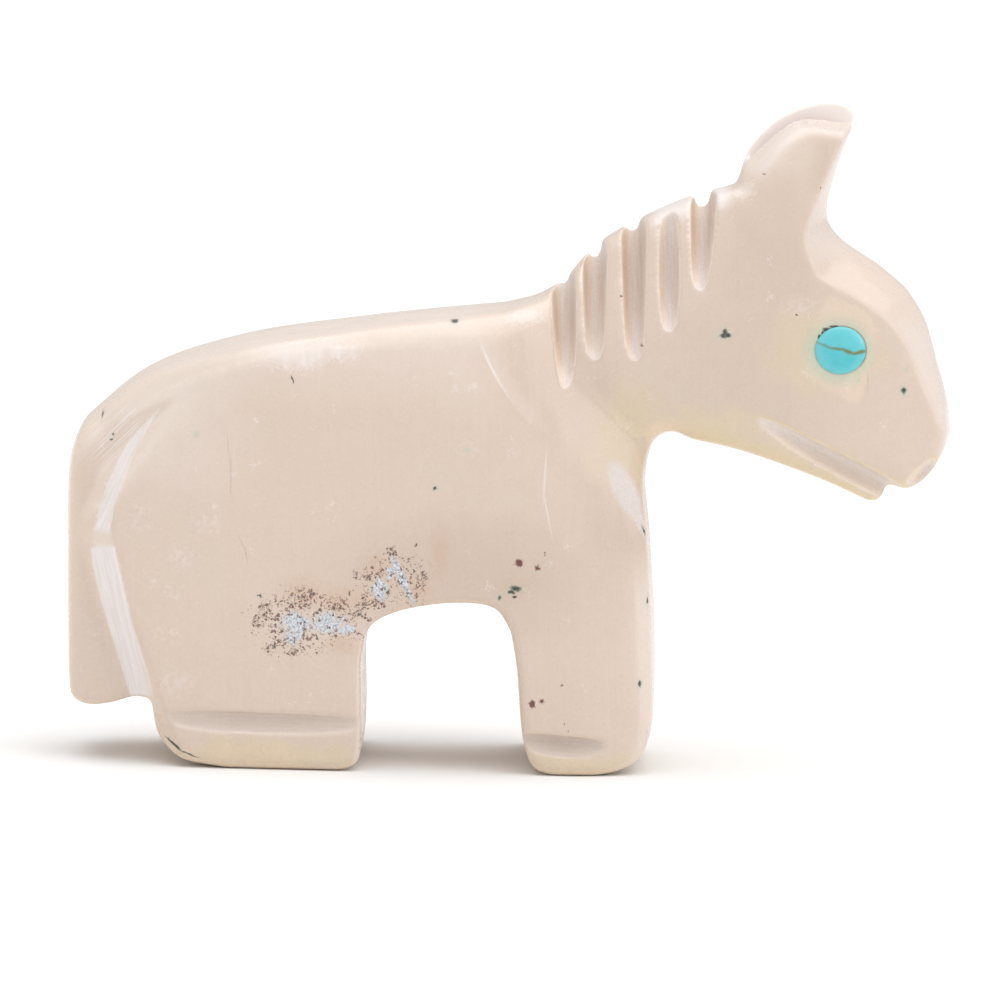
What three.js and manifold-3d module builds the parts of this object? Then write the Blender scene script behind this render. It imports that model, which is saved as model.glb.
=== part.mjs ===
// A small horse carved from one piece of cream stone, with a turquoise plug set in for each eye.
// Millimetres, +X towards the nose, +Z up, and the carving's right side at -Y.
// The origin is on the ground, under the middle of the carving.

import * as THREE from 'three';
import { mergeVertices } from 'three/addons/utils/BufferGeometryUtils.js';
import Module from 'manifold-3d';

const wasm = await Module();
wasm.setup();

// Overall length, from the tail to the lips. The profile and the places of the carving are drawn in
// fiftieths of it.
const length = 50;
const fiftieth = length / 50;

// Thickness of the stone, from side to side, before the ridges between its facets are rubbed down
const flankThickness = 13.6;
const tailThickness = 8.6;
const forelegThickness = 13.0;
const cheekThickness = 9.8;
const muzzleThickness = 7.6;
const maneThickness = 4.4;
const earThickness = 5.4;

// The slot between the two ears, ground by a wheel that comes down from above
const earSlotWidth = 0.9;
const earSlotDepth = 3.9;
const earSlotWheel = 8;

// The five grooves of the mane on each side
const maneGrooveWidth = 1.3;
const maneGrooveDepth = 0.75;

// The grooves of the mouth and the hooves, the nick of the nostril and the groove that parts the forelegs
const mouthWidth = 0.85;
const mouthDepth = 0.7;
const hoofGrooveWidth = 0.95;
const hoofGrooveDepth = 0.45;
const nostrilWidth = 0.35;
const nostrilDepth = 0.35;
const legPartingWidth = 1.4;
const legPartingDepth = 0.5;
const legPartingLength = 12.4;

// The eyes: a plug of turquoise in a drilled socket, with a line of glue round and under it
const eyeDiameter = 2.9;
const eyeDepth = 1.3;
const eyeDome = 0.28;
const glueLine = 0.1;

// How finely the surfaces are divided
const outlineStep = 1.6;
const sideStep = 1.5;
const gridTurn = 35;
const eyeSides = 24;

// How broadly the masses of the body run into each other, and how much of the way to the middle of a
// narrow part the rounding of its edge can take
const hollow = 0.5;
const mostOfRoom = 0.7;

const degrees = Math.PI / 180;

const place = ([x, z]) => new THREE.Vector2(x * fiftieth, z * fiftieth);

// The profile, clockwise from the withers as seen from the right side. Each stretch is a smooth curve
// through its places, and two stretches meet at a corner. `crown` is how far the edge of the side
// stands back from the middle of the stone, and `round` is the radius that rubs the edge off, each at
// the start and the end of the stretch.
const profile = [
  {
    name: 'mane',
    crown: [0.3, 0.3],
    round: [1.6, 0.8],
    through: [[-0.4, 26.1], [1.6, 26.75], [3.2, 27.95], [4.4, 29.4], [6.4, 30.75], [9.8, 32.4], [12.5, 33.2]],
  },
  {
    name: 'back of the ear',
    crown: [0.3, 0.15],
    round: [0.5, 0.35],
    through: [[12.5, 33.2], [13.2, 35.2], [15.1, 37.1], [17.35, 37.9], [18.75, 37.7], [19.15, 37.15]],
  },
  {
    name: 'front of the ear',
    crown: [0.15, 0.5],
    round: [0.35, 0.35],
    through: [[19.15, 37.15], [18.2, 34.5], [17.65, 32.4]],
  },
  {
    name: 'stop',
    crown: [0.5, 2.1],
    round: [0.35, 0.35],
    through: [[17.65, 32.4], [17.7, 31.2], [18.65, 30.1]],
  },
  {
    name: 'forehead',
    crown: [2.1, 1.8],
    round: [0.35, 0.4],
    through: [[18.65, 30.1], [20.55, 28.9], [22.3, 27.55]],
  },
  {
    name: 'nose',
    crown: [1.8, 0.5],
    round: [0.4, 0.6],
    through: [[22.3, 27.55], [23.35, 25.9], [24.2, 23.25], [24.85, 20.9], [25, 19.5]],
  },
  {
    name: 'lips',
    crown: [0.5, 0.2],
    round: [0.6, 0.4],
    through: [[25, 19.5], [24.5, 18.1], [23.6, 16.85], [22.4, 16.2], [21.3, 16.6]],
  },
  {
    name: 'tip of the jaw',
    crown: [0.2, 0.2],
    round: [0.3, 0.4],
    through: [[21.3, 16.6], [21.15, 15.95], [20.85, 15.6], [20.3, 15.5]],
  },
  {
    name: 'jaw',
    crown: [0.2, 0.3],
    round: [0.5, 0.9],
    through: [[20.3, 15.5], [17.6, 16.65], [12.9, 18.2], [10.2, 18.75]],
  },
  {
    name: 'throat and chest',
    crown: [0.3, 0.4],
    round: [0.9, 0.9],
    through: [[10.2, 18.75], [9.1, 19.15], [8.25, 18.7], [7.75, 16.8], [8.05, 13.5], [8.45, 8.9]],
  },
  {
    name: 'front of the foreleg',
    crown: [0.4, 0],
    round: [0.9, 0.6],
    through: [[8.45, 8.9], [8.55, 4.9], [8.4, 2.2], [7.8, 0.85], [6.6, 0.2], [5.2, 0]],
  },
  {
    name: 'fore sole',
    crown: [0, 0],
    round: [0.6, 0.6],
    through: [[5.2, 0], [2.6, 0]],
  },
  {
    name: 'back of the foreleg',
    crown: [0, 0.1],
    round: [0.6, 0.35],
    through: [[2.6, 0], [1.7, 0.4], [1.1, 1.8], [0.6, 6.0], [0.2, 8.1]],
  },
  {
    name: 'belly arch',
    crown: [0.1, 0.1],
    round: [0.35, 0.35],
    through: [[0.2, 8.1], [-0.65, 9.3], [-2.6, 9.6], [-6.3, 8.95], [-7.6, 8.1], [-8.0, 6.2]],
  },
  {
    name: 'front of the hind leg',
    crown: [0.1, 0],
    round: [0.35, 0.6],
    through: [[-8.0, 6.2], [-7.95, 1.4], [-8.15, 0.5], [-8.9, 0.05], [-9.8, 0]],
  },
  {
    name: 'hind sole',
    crown: [0, 0],
    round: [0.6, 0.6],
    through: [[-9.8, 0], [-15.6, 0]],
  },
  {
    name: 'back of the hind leg',
    crown: [0, 0.1],
    round: [0.6, 0.2],
    through: [[-15.6, 0], [-18.2, 0.5], [-19.45, 1.65], [-19.95, 3.7]],
  },
  {
    name: 'foot of the tail',
    crown: [0.1, 0.3],
    round: [0.2, 0.6],
    through: [[-19.95, 3.7], [-20.9, 3.6], [-22.2, 3.15], [-23.7, 3.0], [-24.6, 3.5], [-24.85, 4.9]],
  },
  {
    name: 'back of the tail',
    crown: [0.3, 0.5],
    round: [0.6, 1.0],
    through: [[-24.85, 4.9], [-25, 11.5], [-24.9, 17.3], [-24.2, 19.15]],
  },
  {
    name: 'rump and back',
    crown: [0.6, 0.3],
    round: [1.6, 2.0],
    through: [[-24.2, 19.15], [-20.6, 22.1], [-15.5, 23.95], [-8.1, 25.2], [-0.4, 26.1]],
  },
];

// The sides are ground in broad facets. Each facet is a plane: its distance from the middle of the stone
// along a line through `at`, and how steeply it falls beyond that line, towards a direction in degrees
// (0 is forwards and 90 is up). The facets of one mass meet in soft ridges, and the masses run into
// each other in soft hollows.
const masses = {
  bodyAndLegs: {
    soft: 0.9,
    facets: [
      { at: [-8, 14], towards: 90, half: flankThickness / 2, fall: 0.01 },
      { at: [-16.5, 14], towards: 180, half: flankThickness / 2, fall: 0.12 },
      { at: [-8, 21.5], towards: 90, half: flankThickness / 2, fall: 0.28 },
      { at: [-18.6, 20.0], towards: 140, half: flankThickness / 2 - 0.8, fall: 0.55 },
      { at: [-8, 8], towards: 270, half: flankThickness / 2, fall: 0.05 },
      { at: [0.2, 21.4], towards: 35, half: flankThickness / 2, fall: 0.75 },
      { at: [5.1, 10], towards: 0, half: forelegThickness / 2, fall: 0.42 },
      { at: [3.4, 16.5], towards: 40, half: forelegThickness / 2, fall: 0.35 },
    ],
  },
  neckAndHead: {
    soft: 1.6,
    facets: [
      { at: [4, 22], towards: 10, half: flankThickness / 2 - 0.7, fall: 0.07 },
      { at: [18.4, 24.2], towards: 50, half: cheekThickness / 2 + 0.2, fall: 0.06 },
      { at: [8.5, 31.6], towards: 121, half: maneThickness / 2 + 0.3, fall: 0.45 },
      { at: [24.6, 19.5], towards: -5, half: muzzleThickness / 2, fall: 0.28 },
      { at: [15, 18.4], towards: 250, half: cheekThickness / 2 - 0.4, fall: 0.4 },
      { at: [16.8, 36.2], towards: 100, half: earThickness / 2, fall: 0.42 },
    ],
  },
};

// The thigh ends in two steep walls that meet in a blunt corner, and the tail lies lower beyond them.
// Above, the tail's own side rises to the rump, and the upper wall runs out in a point there.
const thighWalls = [
  { at: [-20.97, 16.6], towards: 158, half: flankThickness / 2 - 0.5, fall: 1.2 },
  { at: [-21.0, 8.0], towards: 196, half: flankThickness / 2 - 0.5, fall: 1.2 },
];
const tailSides = [
  { at: [-23, 12], towards: 180, half: tailThickness / 2, fall: 0.05 },
  { at: [-19.6, 20.4], towards: 225, half: flankThickness / 2 - 1.35, fall: 0.28 },
];

// How the wheel went in for each groove of the mane: where its cut starts below, where it ends above, and
// how far the upper end stops short of the middle of the crest, or runs past it where that is negative.
const maneGrooves = [
  { from: [3.05, 21.5], to: [2.85, 27.6], short: -0.1 },
  { from: [4.65, 23.1], to: [4.6, 29.15], short: -0.1 },
  { from: [6.8, 23.1], to: [6.8, 30.65], short: -0.1 },
  { from: [8.75, 24.9], to: [8.5, 31.3], short: 0.9 },
  { from: [10.5, 27.1], to: [10.5, 31.95], short: -0.1 },
];

// The other grooves, each ground into both sides
const mouthGroove = { from: [13.9, 20.1], to: [22.4, 15.95] };
const nostrilNick = { from: [22.35, 16.5], to: [24.2, 18.2] };
const hoofGrooves = [
  { from: [-19.7, 2.75], to: [-7.4, 2.6] },
  { from: [0.4, 1.95], to: [6.6, 1.4] },
];

const eyePlace = [18.38, 24.2];
const earTips = [16.4, 37.8];
const legPartingMiddle = [8.5, 4.5];

// The smaller of two heights, with the ridge between them rubbed down over `soft`
function softMin(a, b, soft) {
  const near = Math.max(soft - Math.abs(a - b), 0);
  return Math.min(a, b) - (near * near) / (4 * soft);
}

const softMax = (a, b, soft) => -softMin(-a, -b, soft);

function facetHeight(facet, x, z) {
  const at = place(facet.at);
  const direction = facet.towards * degrees;
  const beyond = (x - at.x) * Math.cos(direction) + (z - at.y) * Math.sin(direction);
  return facet.half - facet.fall * beyond;
}

// Half the stone's thickness at a place on its side, before the tail is cut back
function groundSide(x, z) {
  const heights = Object.values(masses).map(({ facets, soft }) =>
    facets.map((facet) => facetHeight(facet, x, z)).reduce((a, b) => softMin(a, b, soft)));
  return heights.reduce((a, b) => softMax(a, b, hollow));
}

// Half the stone's thickness at a place on its side
function halfThickness(x, z) {
  const wall = Math.min(...thighWalls.map((facet) => facetHeight(facet, x, z)));
  const tail = Math.max(...tailSides.map((facet) => facetHeight(facet, x, z)));
  return Math.min(groundSide(x, z), Math.max(wall, tail));
}

const onSide = (x, z, side) => new THREE.Vector3(x, side * groundSide(x, z), z);

function sideNormal(x, z, side) {
  const step = 0.5;
  const alongX = (groundSide(x + step, z) - groundSide(x - step, z)) / (2 * step);
  const alongZ = (groundSide(x, z + step) - groundSide(x, z - step)) / (2 * step);
  return new THREE.Vector3(-alongX, side, -alongZ).normalize();
}

function toSolid(geometry) {
  geometry.deleteAttribute('normal');
  geometry.deleteAttribute('uv');
  const merged = mergeVertices(geometry, 1e-5);
  return new wasm.Manifold(new wasm.Mesh({
    numProp: 3,
    vertProperties: new Float32Array(merged.attributes.position.array),
    triVerts: new Uint32Array(merged.index.array),
  }));
}

function toGeometry(solid) {
  const mesh = solid.getMesh();
  const geometry = new THREE.BufferGeometry();
  geometry.setAttribute('position', new THREE.BufferAttribute(mesh.vertProperties, 3));
  geometry.setIndex(new THREE.BufferAttribute(mesh.triVerts, 1));
  geometry.computeVertexNormals();
  return geometry;
}

// The profile as points at most one step apart, each with its crown and round
function profilePoints() {
  const points = [];
  for (const stretch of profile) {
    const places = stretch.through.map(place).map((p) => new THREE.Vector3(p.x, p.y, 0));
    const curve = new THREE.CatmullRomCurve3(places, false, 'centripetal');
    const spans = places.length - 1;
    for (let span = 0; span < spans; span += 1) {
      const pieces = Math.ceil(places[span].distanceTo(places[span + 1]) / outlineStep);
      for (let i = 0; i < pieces; i += 1) {
        const share = (span + i / pieces) / spans;
        const p = curve.getPoint(share);
        points.push({
          x: p.x,
          z: p.y,
          crown: THREE.MathUtils.lerp(stretch.crown[0], stretch.crown[1], share),
          round: THREE.MathUtils.lerp(stretch.round[0], stretch.round[1], share),
        });
      }
    }
  }
  return points;
}

// Each point's direction into the stone, and how far it can move that way before the outline folds
function addInward(points) {
  const count = points.length;
  points.forEach((point, i) => {
    const before = points[(i + count - 1) % count];
    const after = points[(i + 1) % count];
    const run = new THREE.Vector2(after.x - before.x, after.z - before.z).normalize();
    point.inward = new THREE.Vector2(run.y, -run.x);
  });
  for (const point of points) {
    point.room = Infinity;
    for (const other of points) {
      const gap = new THREE.Vector2(other.x - point.x, other.z - point.z);
      const ahead = gap.dot(point.inward);
      if (ahead > 1e-6) point.room = Math.min(point.room, gap.lengthSq() / (2 * ahead));
    }
  }
}

// The rings of the slab at one point of the profile, from the middle of the stone out past its side:
// how far each ring stands from the middle, and how far in it stands from the outline.
function ringsAt(point) {
  const edge = point.round;
  const half = halfThickness(point.x + point.inward.x * edge, point.z + point.inward.y * edge);
  const round = Math.min(point.round, half / 2);
  const chamfer = 1 - Math.SQRT1_2;
  const levels = [
    { y: 0, rubbed: 0 },
    { y: (half - round) / 2, rubbed: 0 },
    { y: half - round, rubbed: 0 },
    { y: half - round * chamfer, rubbed: round * chamfer },
    { y: flankThickness, rubbed: round * chamfer },
  ];
  const mostInset = mostOfRoom * point.room;
  return levels.map(({ y, rubbed }) => {
    const crown = point.crown * Math.min(1, y / half) ** 2;
    return { y, inset: Math.min(crown + rubbed, mostInset) };
  });
}

// The slab: the profile through the thickness of the stone, crowned and rounded at its edges. It is
// extruded from the innermost ring, and then each ring is moved out to its own place.
function makeSlab() {
  const points = profilePoints();
  addInward(points);
  const half = points.map(ringsAt);
  const levels = half[0].length;
  const ringPoint = (i, level) => {
    const { inset } = half[i][level];
    return new THREE.Vector2(
      points[i].x + points[i].inward.x * inset,
      points[i].z + points[i].inward.y * inset,
    );
  };
  const inner = points.map((point, i) => ringPoint(i, levels - 1));
  const steps = 2 * (levels - 1);
  const geometry = new THREE.ExtrudeGeometry(new THREE.Shape(inner), {
    depth: steps,
    steps,
    bevelEnabled: false,
  });
  const key = (x, y) => `${x.toFixed(3)} ${y.toFixed(3)}`;
  const indexAt = new Map(inner.map((p, i) => [key(Math.fround(p.x), Math.fround(p.y)), i]));
  const position = geometry.attributes.position;
  for (let v = 0; v < position.count; v += 1) {
    const i = indexAt.get(key(position.getX(v), position.getY(v)));
    const step = Math.round(position.getZ(v)) - (levels - 1);
    const level = Math.abs(step);
    const p = ringPoint(i, level);
    position.setXYZ(v, p.x, -Math.sign(step) * half[i][level].y, p.y);
  }
  return toSolid(geometry);
}

// The block: the two ground sides of the stone, wider and higher than the slab. Its grid is turned to
// run along the ridges of the shoulder and the mane.
function makeBlock() {
  const width = 1.4 * length;
  const cells = Math.round(width / sideStep);
  const geometry = new THREE.BoxGeometry(width, 1, width, cells, 1, cells);
  geometry.rotateY(-gridTurn * degrees);
  geometry.translate(0, 0, width / 4);
  const position = geometry.attributes.position;
  for (let v = 0; v < position.count; v += 1) {
    const side = Math.sign(position.getY(v));
    const thinnest = 1;
    position.setY(v, side * Math.max(groundSide(position.getX(v), position.getZ(v)), thinnest));
  }
  return toSolid(geometry);
}

// All the space outside one facet on one side
function beyondFacet({ at, towards, half, fall }, side) {
  const size = 4 * length;
  const corner = place(at);
  const box = new THREE.BoxGeometry(size, size, size);
  box.translate(0, size / 2, 0);
  const direction = towards * degrees;
  const out = new THREE.Vector3(fall * Math.cos(direction), side, fall * Math.sin(direction)).normalize();
  box.applyQuaternion(new THREE.Quaternion().setFromUnitVectors(new THREE.Vector3(0, 1, 0), out));
  box.translate(corner.x, side * half, corner.y);
  return toSolid(box);
}

// What is ground away beside the tail, outside one wall of the thigh and outside the tail's own side
function tailRecess(wall, side) {
  return tailSides.reduce(
    (solid, facet) => solid.intersect(beyondFacet(facet, side)),
    beyondFacet(wall, side),
  );
}

// A grinding wheel that cuts from one place on the surface to another, `depth` deep halfway along and
// `width` wide at the surface. `out` is the way that the wheel came from.
function makeWheel(from, to, out, depth, width) {
  const chord = to.clone().sub(from);
  const along = chord.clone().normalize();
  const away = out.clone().addScaledVector(along, -out.dot(along)).normalize();
  const radius = (chord.lengthSq() / 4 + depth * depth) / (2 * depth);
  const centre = from.clone().add(to).multiplyScalar(0.5).addScaledVector(away, radius - depth);
  const turn = 2 * Math.asin(Math.min(1, chord.length() / (2 * radius)));
  const facetsInCut = 7;
  const full = 0.7;
  const tip = 0.25;
  const sides = THREE.MathUtils.clamp(Math.round((2 * Math.PI * facetsInCut) / turn), 24, 160);
  const half = width / 2;
  const shoulder = radius - (1 - full) * depth;
  const rim = [
    [0, -half],
    [radius - depth, -half],
    [shoulder, -full * half],
    [radius, -tip * half],
    [radius, tip * half],
    [shoulder, full * half],
    [radius - depth, half],
    [0, half],
  ];
  const geometry = new THREE.LatheGeometry(rim.map(([r, y]) => new THREE.Vector2(r, y)), sides);
  const axle = along.clone().cross(away);
  const turned = new THREE.Matrix4().makeBasis(away, axle, away.clone().cross(axle));
  geometry.applyMatrix4(turned);
  geometry.translate(centre.x, centre.y, centre.z);
  return toSolid(geometry);
}

function sideWheel({ from, to }, side, depth, width) {
  const start = place(from);
  const end = place(to);
  const out = new THREE.Vector3(0, side, 0);
  return makeWheel(onSide(start.x, start.y, side), onSide(end.x, end.y, side), out, depth, width);
}

function maneWheel({ from, to, short }, side) {
  const start = place(from);
  const end = place(to);
  const top = new THREE.Vector3(end.x, side * short, end.y);
  const out = new THREE.Vector3(0, side, 0);
  return makeWheel(onSide(start.x, start.y, side), top, out, maneGrooveDepth, maneGrooveWidth);
}

// The wheel that parts the ears comes down into the top of the head
function earSlot() {
  const top = place(earTips);
  const wheel = new THREE.CylinderGeometry(earSlotWheel, earSlotWheel, earSlotWidth, 72);
  wheel.translate(top.x, 0, top.y + earSlotWheel - earSlotDepth);
  return toSolid(wheel);
}

// A shallow groove up the middle of the chest parts the forelegs
function legParting() {
  const chest = place(legPartingMiddle);
  const radius = legPartingWidth / 2;
  const groove = new THREE.CapsuleGeometry(radius, legPartingLength - legPartingWidth, 6, 16);
  groove.rotateX(90 * degrees);
  groove.translate(chest.x + radius - legPartingDepth, 0, chest.y);
  return toSolid(groove);
}

// Turns a lathe's own axis to the way that the eye looks, and puts it on the cheek
function setInCheek(geometry, side) {
  const at = place(eyePlace);
  const normal = sideNormal(at.x, at.y, side);
  const seat = onSide(at.x, at.y, side);
  geometry.applyQuaternion(new THREE.Quaternion().setFromUnitVectors(new THREE.Vector3(0, 1, 0), normal));
  geometry.translate(seat.x, seat.y, seat.z);
  return geometry;
}

function eyeSocket(side) {
  const radius = eyeDiameter / 2 + glueLine;
  const above = 2;
  const socket = new THREE.CylinderGeometry(radius, radius, eyeDepth + glueLine + above, eyeSides);
  socket.translate(0, (above - eyeDepth - glueLine) / 2, 0);
  return toSolid(setInCheek(socket, side));
}

function eyePlug(side) {
  const radius = eyeDiameter / 2;
  const rings = 3;
  const section = [new THREE.Vector2(0, -eyeDepth), new THREE.Vector2(radius, -eyeDepth)];
  for (let i = 0; i <= rings; i += 1) {
    const angle = (i / rings) * 90 * degrees;
    section.push(new THREE.Vector2(radius * Math.cos(angle), eyeDome * Math.sin(angle)));
  }
  section[section.length - 1].x = 0;
  return setInCheek(new THREE.LatheGeometry(section, eyeSides), side);
}

function makeCarving() {
  let solid = makeSlab().intersect(makeBlock());
  const cuts = [earSlot(), legParting()];
  for (const side of [-1, 1]) {
    cuts.push(eyeSocket(side));
    for (const groove of maneGrooves) cuts.push(maneWheel(groove, side));
    cuts.push(sideWheel(mouthGroove, side, mouthDepth, mouthWidth));
    cuts.push(sideWheel(nostrilNick, side, nostrilDepth, nostrilWidth));
    for (const groove of hoofGrooves) {
      cuts.push(sideWheel(groove, side, hoofGrooveDepth, hoofGrooveWidth));
    }
    for (const wall of thighWalls) cuts.push(tailRecess(wall, side));
  }
  for (const cut of cuts) solid = solid.subtract(cut);
  return toGeometry(solid);
}

const stone = new THREE.MeshStandardMaterial({ color: 0xdfcdbd, roughness: 0.42, metalness: 0 });
const turquoise = new THREE.MeshStandardMaterial({ color: 0x4fc2cf, roughness: 0.25, metalness: 0 });

function named(name, geometry, material) {
  const mesh = new THREE.Mesh(geometry, material);
  mesh.name = name;
  return mesh;
}

const horse = new THREE.Group();
horse.add(named('carving', makeCarving(), stone));
horse.add(named('eye_right', eyePlug(-1), turquoise));
horse.add(named('eye_left', eyePlug(1), turquoise));

export default horse;
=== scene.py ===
# A small horse carved from one piece of cream stone, with a turquoise plug set in for each eye.
# The stone is worked here in millimetres, as its maker would measure it, and each finished piece is
# brought to metres at the end. +X is towards the nose, +Z is up, and the right side is at -Y.
import math

import bpy
import numpy as np
from mathutils import Matrix, Vector
from mathutils.bvhtree import BVHTree


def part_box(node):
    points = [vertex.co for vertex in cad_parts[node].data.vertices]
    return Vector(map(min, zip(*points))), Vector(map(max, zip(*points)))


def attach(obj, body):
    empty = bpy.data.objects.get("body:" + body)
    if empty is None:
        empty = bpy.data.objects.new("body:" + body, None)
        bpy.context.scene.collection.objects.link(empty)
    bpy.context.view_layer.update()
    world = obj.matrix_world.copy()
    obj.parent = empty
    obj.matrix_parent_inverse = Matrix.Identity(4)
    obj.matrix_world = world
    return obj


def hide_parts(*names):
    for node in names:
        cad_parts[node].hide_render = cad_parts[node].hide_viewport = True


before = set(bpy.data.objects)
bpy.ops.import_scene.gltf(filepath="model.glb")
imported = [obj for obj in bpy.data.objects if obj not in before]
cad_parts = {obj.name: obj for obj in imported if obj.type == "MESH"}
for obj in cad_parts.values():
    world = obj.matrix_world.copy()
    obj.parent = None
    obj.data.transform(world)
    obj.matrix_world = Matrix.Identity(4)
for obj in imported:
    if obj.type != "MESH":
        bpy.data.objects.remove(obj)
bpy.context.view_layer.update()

bl_info = {
    "name": "Carved Stone Horse",
    "version": (1, 0, 0),
    "blender": (4, 5, 0),
    "location": "View3D > Sidebar > Horse",
    "description": "Carves a small stone horse and sets its eyes",
    "category": "Add Mesh",
}

MM = 0.001
CARVING_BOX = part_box("carving")
CARVING_LENGTH = CARVING_BOX[1].x - CARVING_BOX[0].x

# The profile and the places of the carving are drawn in fiftieths of the length
DRAWN_LENGTH = 50.05

# The profile, clockwise from the withers as seen from the right side. Each stretch is a smooth curve
# through its places, and two stretches meet at a corner. The crown is how far the edge of the side
# stands back from the middle of the stone, and the round is the radius that rubs the edge off, each
# at even steps along the stretch.
MANE = {
    "crown": (0.3, 0.3),
    "round": (1.6, 0.8),
    "through": ((-0.4, 26.1), (1.6, 26.75), (3.2, 27.95), (4.4, 29.4), (6.4, 30.75), (9.8, 32.4),
                (12.5, 33.2)),
}
BACK_OF_EAR = {
    "crown": (0.3, 0.15),
    "round": (1.3, 0.9),
    "through": ((12.5, 33.2), (13.2, 35.2), (15.1, 37.1), (17.35, 37.9), (18.75, 37.7), (19.15, 37.15)),
}
FRONT_OF_EAR = {
    "crown": (0.15, 0.8),
    "round": (0.2, 0.15),
    "through": ((19.15, 37.15), (18.2, 34.5), (17.65, 32.4)),
}
STOP = {
    "crown": (0.8, 2.3),
    "round": (0.15, 0.15),
    "through": ((17.65, 32.4), (17.7, 31.2), (18.65, 30.1)),
}
FOREHEAD = {
    "crown": (2.3, 1.9),
    "round": (0.15, 0.15),
    "through": ((18.65, 30.1), (20.55, 28.9), (22.3, 27.55)),
}
NOSE = {
    "crown": (1.9, 0.5),
    "round": (0.15, 0.5),
    "through": ((22.3, 27.55), (23.35, 25.9), (24.2, 23.25), (24.85, 20.9), (25.0, 19.5)),
}
LIPS = {
    "crown": (0.5, 0.2),
    "round": (0.6, 0.4),
    "through": ((25.0, 19.5), (24.5, 18.1), (23.6, 16.85), (22.4, 16.2), (21.3, 16.6)),
}
TIP_OF_JAW = {
    "crown": (0.2, 0.2),
    "round": (0.3, 0.4),
    "through": ((21.3, 16.6), (21.15, 15.95), (20.85, 15.6), (20.3, 15.5)),
}
JAW = {
    "crown": (0.2, 0.3),
    "round": (0.5, 0.9),
    "through": ((20.3, 15.5), (17.6, 16.65), (12.9, 18.2), (10.2, 18.75)),
}
THROAT_AND_CHEST = {
    "crown": (0.3, 0.4),
    "round": (0.9, 0.9),
    "through": ((10.2, 18.75), (9.1, 19.15), (8.25, 18.7), (7.75, 16.8), (8.05, 13.5), (8.45, 8.9)),
}
FRONT_OF_FORELEG = {
    "crown": (0.4, 0.0),
    "round": (0.9, 0.6),
    "through": ((8.45, 8.9), (8.55, 4.9), (8.4, 2.2), (7.8, 0.85), (6.6, 0.2), (5.2, 0.0)),
}
FORE_SOLE = {
    "crown": (0.0, 0.0),
    "round": (0.6, 0.6),
    "through": ((5.2, 0.0), (2.6, 0.0)),
}
BACK_OF_FORELEG = {
    "crown": (0.0, 0.1),
    "round": (0.6, 0.35),
    "through": ((2.6, 0.0), (1.7, 0.4), (1.1, 1.8), (0.6, 6.0), (0.2, 8.1)),
}
BELLY_ARCH = {
    "crown": (0.1, 0.1),
    "round": (0.35, 0.35),
    "through": ((0.2, 8.1), (-0.65, 9.3), (-2.6, 9.6), (-6.3, 8.95), (-7.6, 8.1), (-8.0, 6.2)),
}
FRONT_OF_HIND_LEG = {
    "crown": (0.1, 0.0),
    "round": (0.35, 0.6),
    "through": ((-8.0, 6.2), (-7.95, 1.4), (-8.15, 0.5), (-8.9, 0.05), (-9.8, 0.0)),
}
HIND_SOLE = {
    "crown": (0.0, 0.0),
    "round": (0.6, 0.6),
    "through": ((-9.8, 0.0), (-15.6, 0.0)),
}
BACK_OF_HIND_LEG = {
    "crown": (0.0, 0.1),
    "round": (0.6, 0.2),
    "through": ((-15.6, 0.0), (-18.2, 0.5), (-19.45, 1.65), (-19.95, 3.7)),
}
FOOT_OF_TAIL = {
    "crown": (0.1, 0.3),
    "round": (0.2, 0.6),
    "through": ((-19.95, 3.7), (-20.9, 3.6), (-22.2, 3.15), (-23.7, 3.0), (-24.6, 3.5), (-24.85, 4.9)),
}
BACK_OF_TAIL = {
    "crown": (0.3, 0.5),
    "round": (0.6, 1.0),
    "through": ((-24.85, 4.9), (-25.0, 11.5), (-24.9, 17.3), (-24.2, 19.15)),
}
RUMP_AND_BACK = {
    "crown": (0.6, 0.7, 0.5, 0.3),
    "round": (1.6, 0.9, 0.8, 2.0),
    "through": ((-24.2, 19.15), (-20.6, 22.1), (-15.5, 23.95), (-8.1, 25.2), (-0.4, 26.1)),
}
PROFILE = (
    MANE, BACK_OF_EAR, FRONT_OF_EAR, STOP, FOREHEAD, NOSE, LIPS, TIP_OF_JAW, JAW, THROAT_AND_CHEST,
    FRONT_OF_FORELEG, FORE_SOLE, BACK_OF_FORELEG, BELLY_ARCH, FRONT_OF_HIND_LEG, HIND_SOLE,
    BACK_OF_HIND_LEG, FOOT_OF_TAIL, BACK_OF_TAIL, RUMP_AND_BACK,
)

# How broadly the facets of the body and of the head run into each other, and the two masses
SOFT_BODY = 0.9
SOFT_HEAD = 1.6
HOLLOW = 0.5

# How the wheel went in for each groove of the mane: where its cut starts below, where it ends above,
# and how far the upper end stops short of the middle of the crest, or runs past it where negative
MANE_GROOVES = (
    ((3.1, 21.7), (2.75, 27.75), -0.25),
    ((4.6, 23.3), (4.5, 29.3), -0.25),
    ((6.85, 23.3), (6.65, 30.9), -0.25),
    ((8.75, 25.0), (8.6, 31.6), 2.3),
    ((10.4, 27.35), (10.55, 32.2), -0.25),
)
MOUTH = ((13.6, 20.15), (25.4, 14.35))
NOSTRIL = ((22.35, 16.5), (24.2, 18.2))
HIND_HOOF = ((-19.7, 2.75), (-7.4, 2.6))
FORE_HOOF = ((-0.2, 2.0), (5.9, 1.55))
EYE_PLACE = (18.38, 24.23)
# An eye is a little lower than it is wide, and its plug goes in this deep, in millimetres
EYE_SQUAT = 0.93
EYE_DEPTH = 1.3
# The tips of the ears, and the middle of the groove that parts the forelegs
EAR_TIPS = (16.4, 37.8)
LEG_PARTING_MIDDLE = (8.5, 4.5)

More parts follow.
